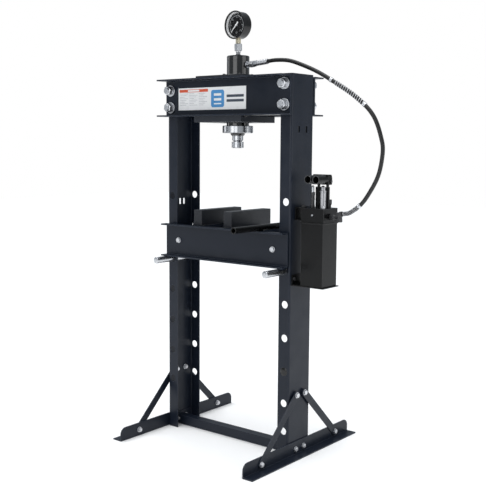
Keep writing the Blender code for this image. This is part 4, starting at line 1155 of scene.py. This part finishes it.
def handle():
    bm = bmesh.new()
    place = at(0.200, -0.271, BED_TOP + 0.013) @ along((0, 1, 0))
    profile = [(0.0105, 0.0), (0.0124, 0.0), (0.0130, 0.0006), (0.0130, 0.4794), (0.0124, 0.4800),
               (0.0105, 0.4800)]
    add_ring(bm, profile, place, 56)
    piece("handle_tube", bm, PUMP_BLACK, "handle", ("pump_handle",), edge=0.0)


handle()

# ---------------------------------------------------------------- pump

BLOCK_TOP = 1.018
TANK_FRONT = -0.058
BLOCK_SCREW = (0.421, 0.991)
BLOCK_SCREW_RADIUS = 0.0036
LEVER_PIVOT = (0.022, 1.122)
PUMPS = {"small": (0.397, -0.020), "large": (0.438, -0.010)}
PLUNGER_TOP = 1.1075
SOCKET_AXIS = 1.129

for node in ("pump_tank", "pump_shelf", "pump_bracket"):
    dressed(node, PUMP_BLACK, 0.0007)
dressed("pump_block", PUMP_BLACK)


def tank_details():
    """The block's front screw, the bracket's bolts and the nut on the block."""
    bm = bmesh.new()
    x, z = BLOCK_SCREW
    radius = BLOCK_SCREW_RADIUS
    screw = [(0.0, 0.0010), (radius * 0.55, 0.0010), (radius * 0.60, 0.0022), (radius, 0.0022)]
    screw += [(radius * 1.1, 0.0012), (radius * 1.1, -0.001), (0.0, -0.001)]
    spot = at(x, TANK_FRONT + 0.001 - GAP, z)
    add_lathe(bm, screw, spot @ along((0, -1, 0)), 28)
    piece("block_screws", bm, ZINC, edge=0.0)
    bm = bmesh.new()
    add_nut(bm, at(0.3475, -0.012, 1.019), 0.0080, 0.0055, turn=0.2)
    add_ring(
        bm, [(0.0045, 0.0), (0.0098, 0.0), (0.0098, 0.0014), (0.0045, 0.0014)],
        at(0.3475, -0.012, 1.0190), 32
    )
    for y in (-0.052, 0.028):
        place = at(HALF_WIDTH + 0.0043, y, 0.732) @ along((1, 0, 0))
        add_nut(bm, place, 0.0070, 0.0050, turn=0.4)
    piece("bracket_bolts", bm, BLUED)
    bm = bmesh.new()
    add_nut(bm, at(0.4535, -0.030, BLOCK_TOP), 0.0060, 0.0060, turn=0.1)
    add_lathe(
        bm, [(0.0, 0.0), (0.0030, 0.0), (0.0030, 0.0095), (0.0022, 0.0105), (0.0, 0.0105)],
        at(0.4535, -0.030, BLOCK_TOP), 24,
    )
    piece("pump_foot_nut", bm, ZINC)


tank_details()


def pump_cylinders():
    x, y = PUMPS["small"]
    bottom = BLOCK_TOP + GAP
    bm = bmesh.new()
    profile = [
        (0.0064, bottom + 0.006), (0.0, bottom + 0.006), (0.0, bottom), (0.0088, bottom),
        (0.0088, 1.0300), (0.0080, 1.0305), (0.0080, 1.0480), (0.0088, 1.0485), (0.0088, 1.0540),
        (0.0080, 1.0545), (0.0080, 1.0690), (0.0088, 1.0695), (0.0088, 1.0785), (0.0083, 1.0790),
        (0.0064, 1.0790), (0.0064, bottom + 0.006),
    ]
    add_lathe(bm, profile, at(x, y, 0), 48)
    piece("small_pump_barrel", bm, BLUED, replaces=("small_pump_cylinder",),
          edge=0.0)
    x, y = PUMPS["large"]
    bm = bmesh.new()
    profile = [
        (0.0094, bottom + 0.006), (0.0, bottom + 0.006), (0.0, bottom), (0.0127, bottom),
        (0.0127, 1.0230), (0.0121, 1.0235), (0.0121, 1.0810), (0.0127, 1.0816), (0.0127, 1.0862),
        (0.0119, 1.0870), (0.0094, 1.0870), (0.0094, bottom + 0.006),
    ]
    add_lathe(bm, profile, at(x, y, 0), 56)
    piece("large_pump_barrel", bm, TURNED, replaces=("large_pump_cylinder",),
          edge=0.0)
    for size, radius, body in (("small", 0.006, "small_piston"), ("large", 0.009, "large_piston")):
        x, y = PUMPS[size]
        low = bottom + 0.020
        bm = bmesh.new()
        tip = PLUNGER_TOP - 0.0025
        profile = [(0.0, tip), (0.0030, tip), (0.0034, tip - 0.0005), (radius, tip - 0.0048)]
        profile += [(radius, tip - 0.0065), (radius - 0.0008, tip - 0.0070)]
        profile += [(radius - 0.0008, tip - 0.0085), (radius, tip - 0.0090)]
        profile += [(radius, low), (0.0, low)]
        add_lathe(bm, profile, at(x, y, 0), 40)
        # Painted shade: the large plunger, chrome like the small one, takes the darker turned steel so
        # that it reads dark, as it does in its shade.
        plunger_look_with_painted_shade = CHROME if size == "small" else TURNED
        piece(f"{size}_chrome_plunger", bm, plunger_look_with_painted_shade, body, (f"{size}_plunger",), edge=0.0)


pump_cylinders()


def clevis(bm, x):
    """The solid rear of a socket: two cheeks with rounded ends, joined in front of the pivot slot."""
    y, z = LEVER_PIVOT
    outline = [(0.0020 - y, -0.0140), (0.0020 - y, 0.0235)]
    outline += [(0.0040 - y, 0.0262), (-0.0060, 0.0262)]
    outline += [
        (0.0085 * math.sin(math.radians(a)),
         0.0170 + 0.0088 * math.cos(math.radians(a)) - 0.0090 * (1 - math.cos(math.radians(a))))
        for a in (0, 25, 50, 75)
    ]
    outline += [(0.0090, -0.0060), (0.0060, -0.0140)]
    to_side = Matrix(((0, 0, 1, 0), (1, 0, 0, y), (0, 1, 0, z), (0, 0, 0, 1)))
    for side in (-1, 1):
        low, high = sorted((x + side * 0.0038, x + side * 0.0158))
        add_outline(bm, outline, low, high, to_side)
    add_box(bm, (x - 0.0150, x + 0.0150), (0.0022, 0.0085), (1.1085, 1.1480))


def levers():
    """Sockets that take the handle, with a black oxide rim at the mouth, and the links behind the
    plungers.
    """
    for size, mouth in (("small", -0.0570), ("large", -0.0620)):
        x, pump_y = PUMPS[size]
        dressed(f"{size}_lever_link", PUMP_BLACK, 0.0006)
        bm = bmesh.new()
        place = at(x, 0, SOCKET_AXIS) @ along((0, 1, 0))
        tube = [
            (0.0137, mouth + 0.0006), (0.0143, mouth), (0.0158, mouth), (0.0165, mouth + 0.0010),
            (0.0165, 0.0040), (0.0, 0.0040), (0.0, -0.0060), (0.0135, -0.0060),
            (0.0135, mouth + 0.0010), (0.0137, mouth + 0.0006),
        ]
        add_lathe(bm, tube, place, 64)
        clevis(bm, x)
        add_box(bm, (x - 0.004, x + 0.004), (pump_y - 0.003, pump_y + 0.003),
                (PLUNGER_TOP + 0.0024, SOCKET_AXIS - 0.0142))
        piece(
            f"{size}_handle_socket", bm, PUMP_BLACK, f"{size}_lever",
            (f"{size}_lever_socket",), edge=0.0005
        )
        bm = bmesh.new()
        rim = [(0.0138, 0.0002), (0.0143, 0.0006), (0.0157, 0.0006), (0.0161, 0.0),
               (0.0157, -0.0003), (0.0143, -0.0003)]
        add_ring(bm, rim, at(x, mouth, SOCKET_AXIS) @ along((0, -1, 0)), 48)
        piece(f"{size}_socket_rim", bm, BLUED, f"{size}_lever", edge=0.0)
        bm = bmesh.new()
        y, z = LEVER_PIVOT
        for side in (-1, 1):
            spot = at(x + side * 0.0180, y, z) @ along((side, 0, 0))
            head = [(0.0, 0.0016), (0.0040, 0.0015), (0.0058, 0.0009), (0.0062, 0.0),
                    (0.0062, -0.0012), (0.0, -0.0012)]
            add_lathe(bm, head, spot, 32)
        piece(f"{size}_pivot_heads", bm, BLUED, edge=0.0)


levers()


def valve_and_port():
    bottom = BLOCK_TOP + GAP
    x, y = 0.4600, 0.010
    bm = bmesh.new()
    profile = [(0.0, bottom), (0.0035, bottom), (0.0035, bottom + 0.011), (0.0040, bottom + 0.0125)]
    profile += [(0.0056, bottom + 0.0140), (0.0062, bottom + 0.0160)]
    profile += [(0.0062, bottom + 0.0290), (0.0056, bottom + 0.0318), (0.0044, bottom + 0.0330),
                (0.0, bottom + 0.0330)]
    add_lathe(bm, profile, at(x, y, 0), 40)
    for step in range(14):
        angle = 2 * math.pi * step / 14
        rib = at(x, y, 0) @ Matrix.Rotation(angle, 4, "Z")
        add_box(bm, (0.0055, 0.0062), (-0.0005, 0.0005), (bottom + 0.0165, bottom + 0.0285), rib)
    piece("release_knob", bm, BLUED, "valve", ("release_valve",), edge=0.0)
    x, y, z = PUMP_PORT
    bm = bmesh.new()
    place = at(x, y, z) @ along((1, 0, 0))
    add_nut(bm, place, 0.0124, 0.0140, both=True, turn=math.pi / 6)
    add_lathe(bm, [(0.0, 0.012)] + threads(0.0080, 0.013, 0.0240, 0.0014, 0.0006), place, 36)
    piece("port_nipple", bm, BLUED, replaces=("pump_port_adapter",))


valve_and_port()

# ---------------------------------------------------------------- studio

FLOOR_HALF = 14.0


def studio():
    scene = bpy.context.scene
    scene.view_settings.view_transform = "Standard"
    scene.view_settings.look = "None"
    world = bpy.data.worlds.new("studio")
    scene.world = world
    world.use_nodes = True
    nodes, links = world.node_tree.nodes, world.node_tree.links
    surround = nodes["Background"]
    surround.inputs["Color"].default_value = (0.86, 0.93, 1.0, 1.0)
    surround.inputs["Strength"].default_value = 0.40
    backdrop = nodes.new("ShaderNodeBackground")
    backdrop.inputs["Color"].default_value = (1, 1, 1, 1)
    backdrop.inputs["Strength"].default_value = 1.0
    ray = nodes.new("ShaderNodeLightPath")
    mix = nodes.new("ShaderNodeMixShader")
    links.new(ray.outputs["Is Camera Ray"], mix.inputs["Fac"])
    links.new(surround.outputs["Background"], mix.inputs[1])
    links.new(backdrop.outputs["Background"], mix.inputs[2])
    links.new(mix.outputs["Shader"], nodes["World Output"].inputs["Surface"])

    bm = bmesh.new()
    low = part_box("left_foot")[0].z - 0.0004
    corners = [(-FLOOR_HALF, -FLOOR_HALF), (FLOOR_HALF, -FLOOR_HALF), (FLOOR_HALF, FLOOR_HALF),
               (-FLOOR_HALF, FLOOR_HALF)]
    bm.faces.new([bm.verts.new((x, y, low)) for x, y in corners])
    mesh = bpy.data.meshes.new("floor")
    bm.to_mesh(mesh)
    bm.free()
    floor = bpy.data.objects.new("floor", mesh)
    scene.collection.objects.link(floor)
    floor.data.materials.append(look("floor_white", (0.93, 0.93, 0.93), 0.6, colour_range=0.01,
                                     grain=40.0))

    def aimed(item, place, target):
        item.matrix_world = Matrix.Translation(place) @ along(Vector(place) - Vector(target))
        scene.collection.objects.link(item)

    sun = bpy.data.lights.new("overhead", "SUN")
    sun.energy = 2.9
    sun.angle = math.radians(70)
    aimed(bpy.data.objects.new("overhead", sun), (-0.2, -0.3, 3.0), (0, 0, 0))
    for name, place, target, size, power in (
        ("front_softbox", (0.5, -4.4, 2.1), (0, 0, 1.0), (3.2, 2.8), 52.0),
        ("right_softbox", (3.9, 0.9, 1.6), (0, 0, 0.9), (2.8, 3.2), 38.0),
        ("left_strip", (-3.9, -1.3, 1.6), (0, 0, 1.1), (0.6, 2.8), 12.0),
    ):
        light = bpy.data.lights.new(name, "AREA")
        light.shape = "RECTANGLE"
        light.size, light.size_y = size
        light.energy = power
        aimed(bpy.data.objects.new(name, light), place, target)


studio()
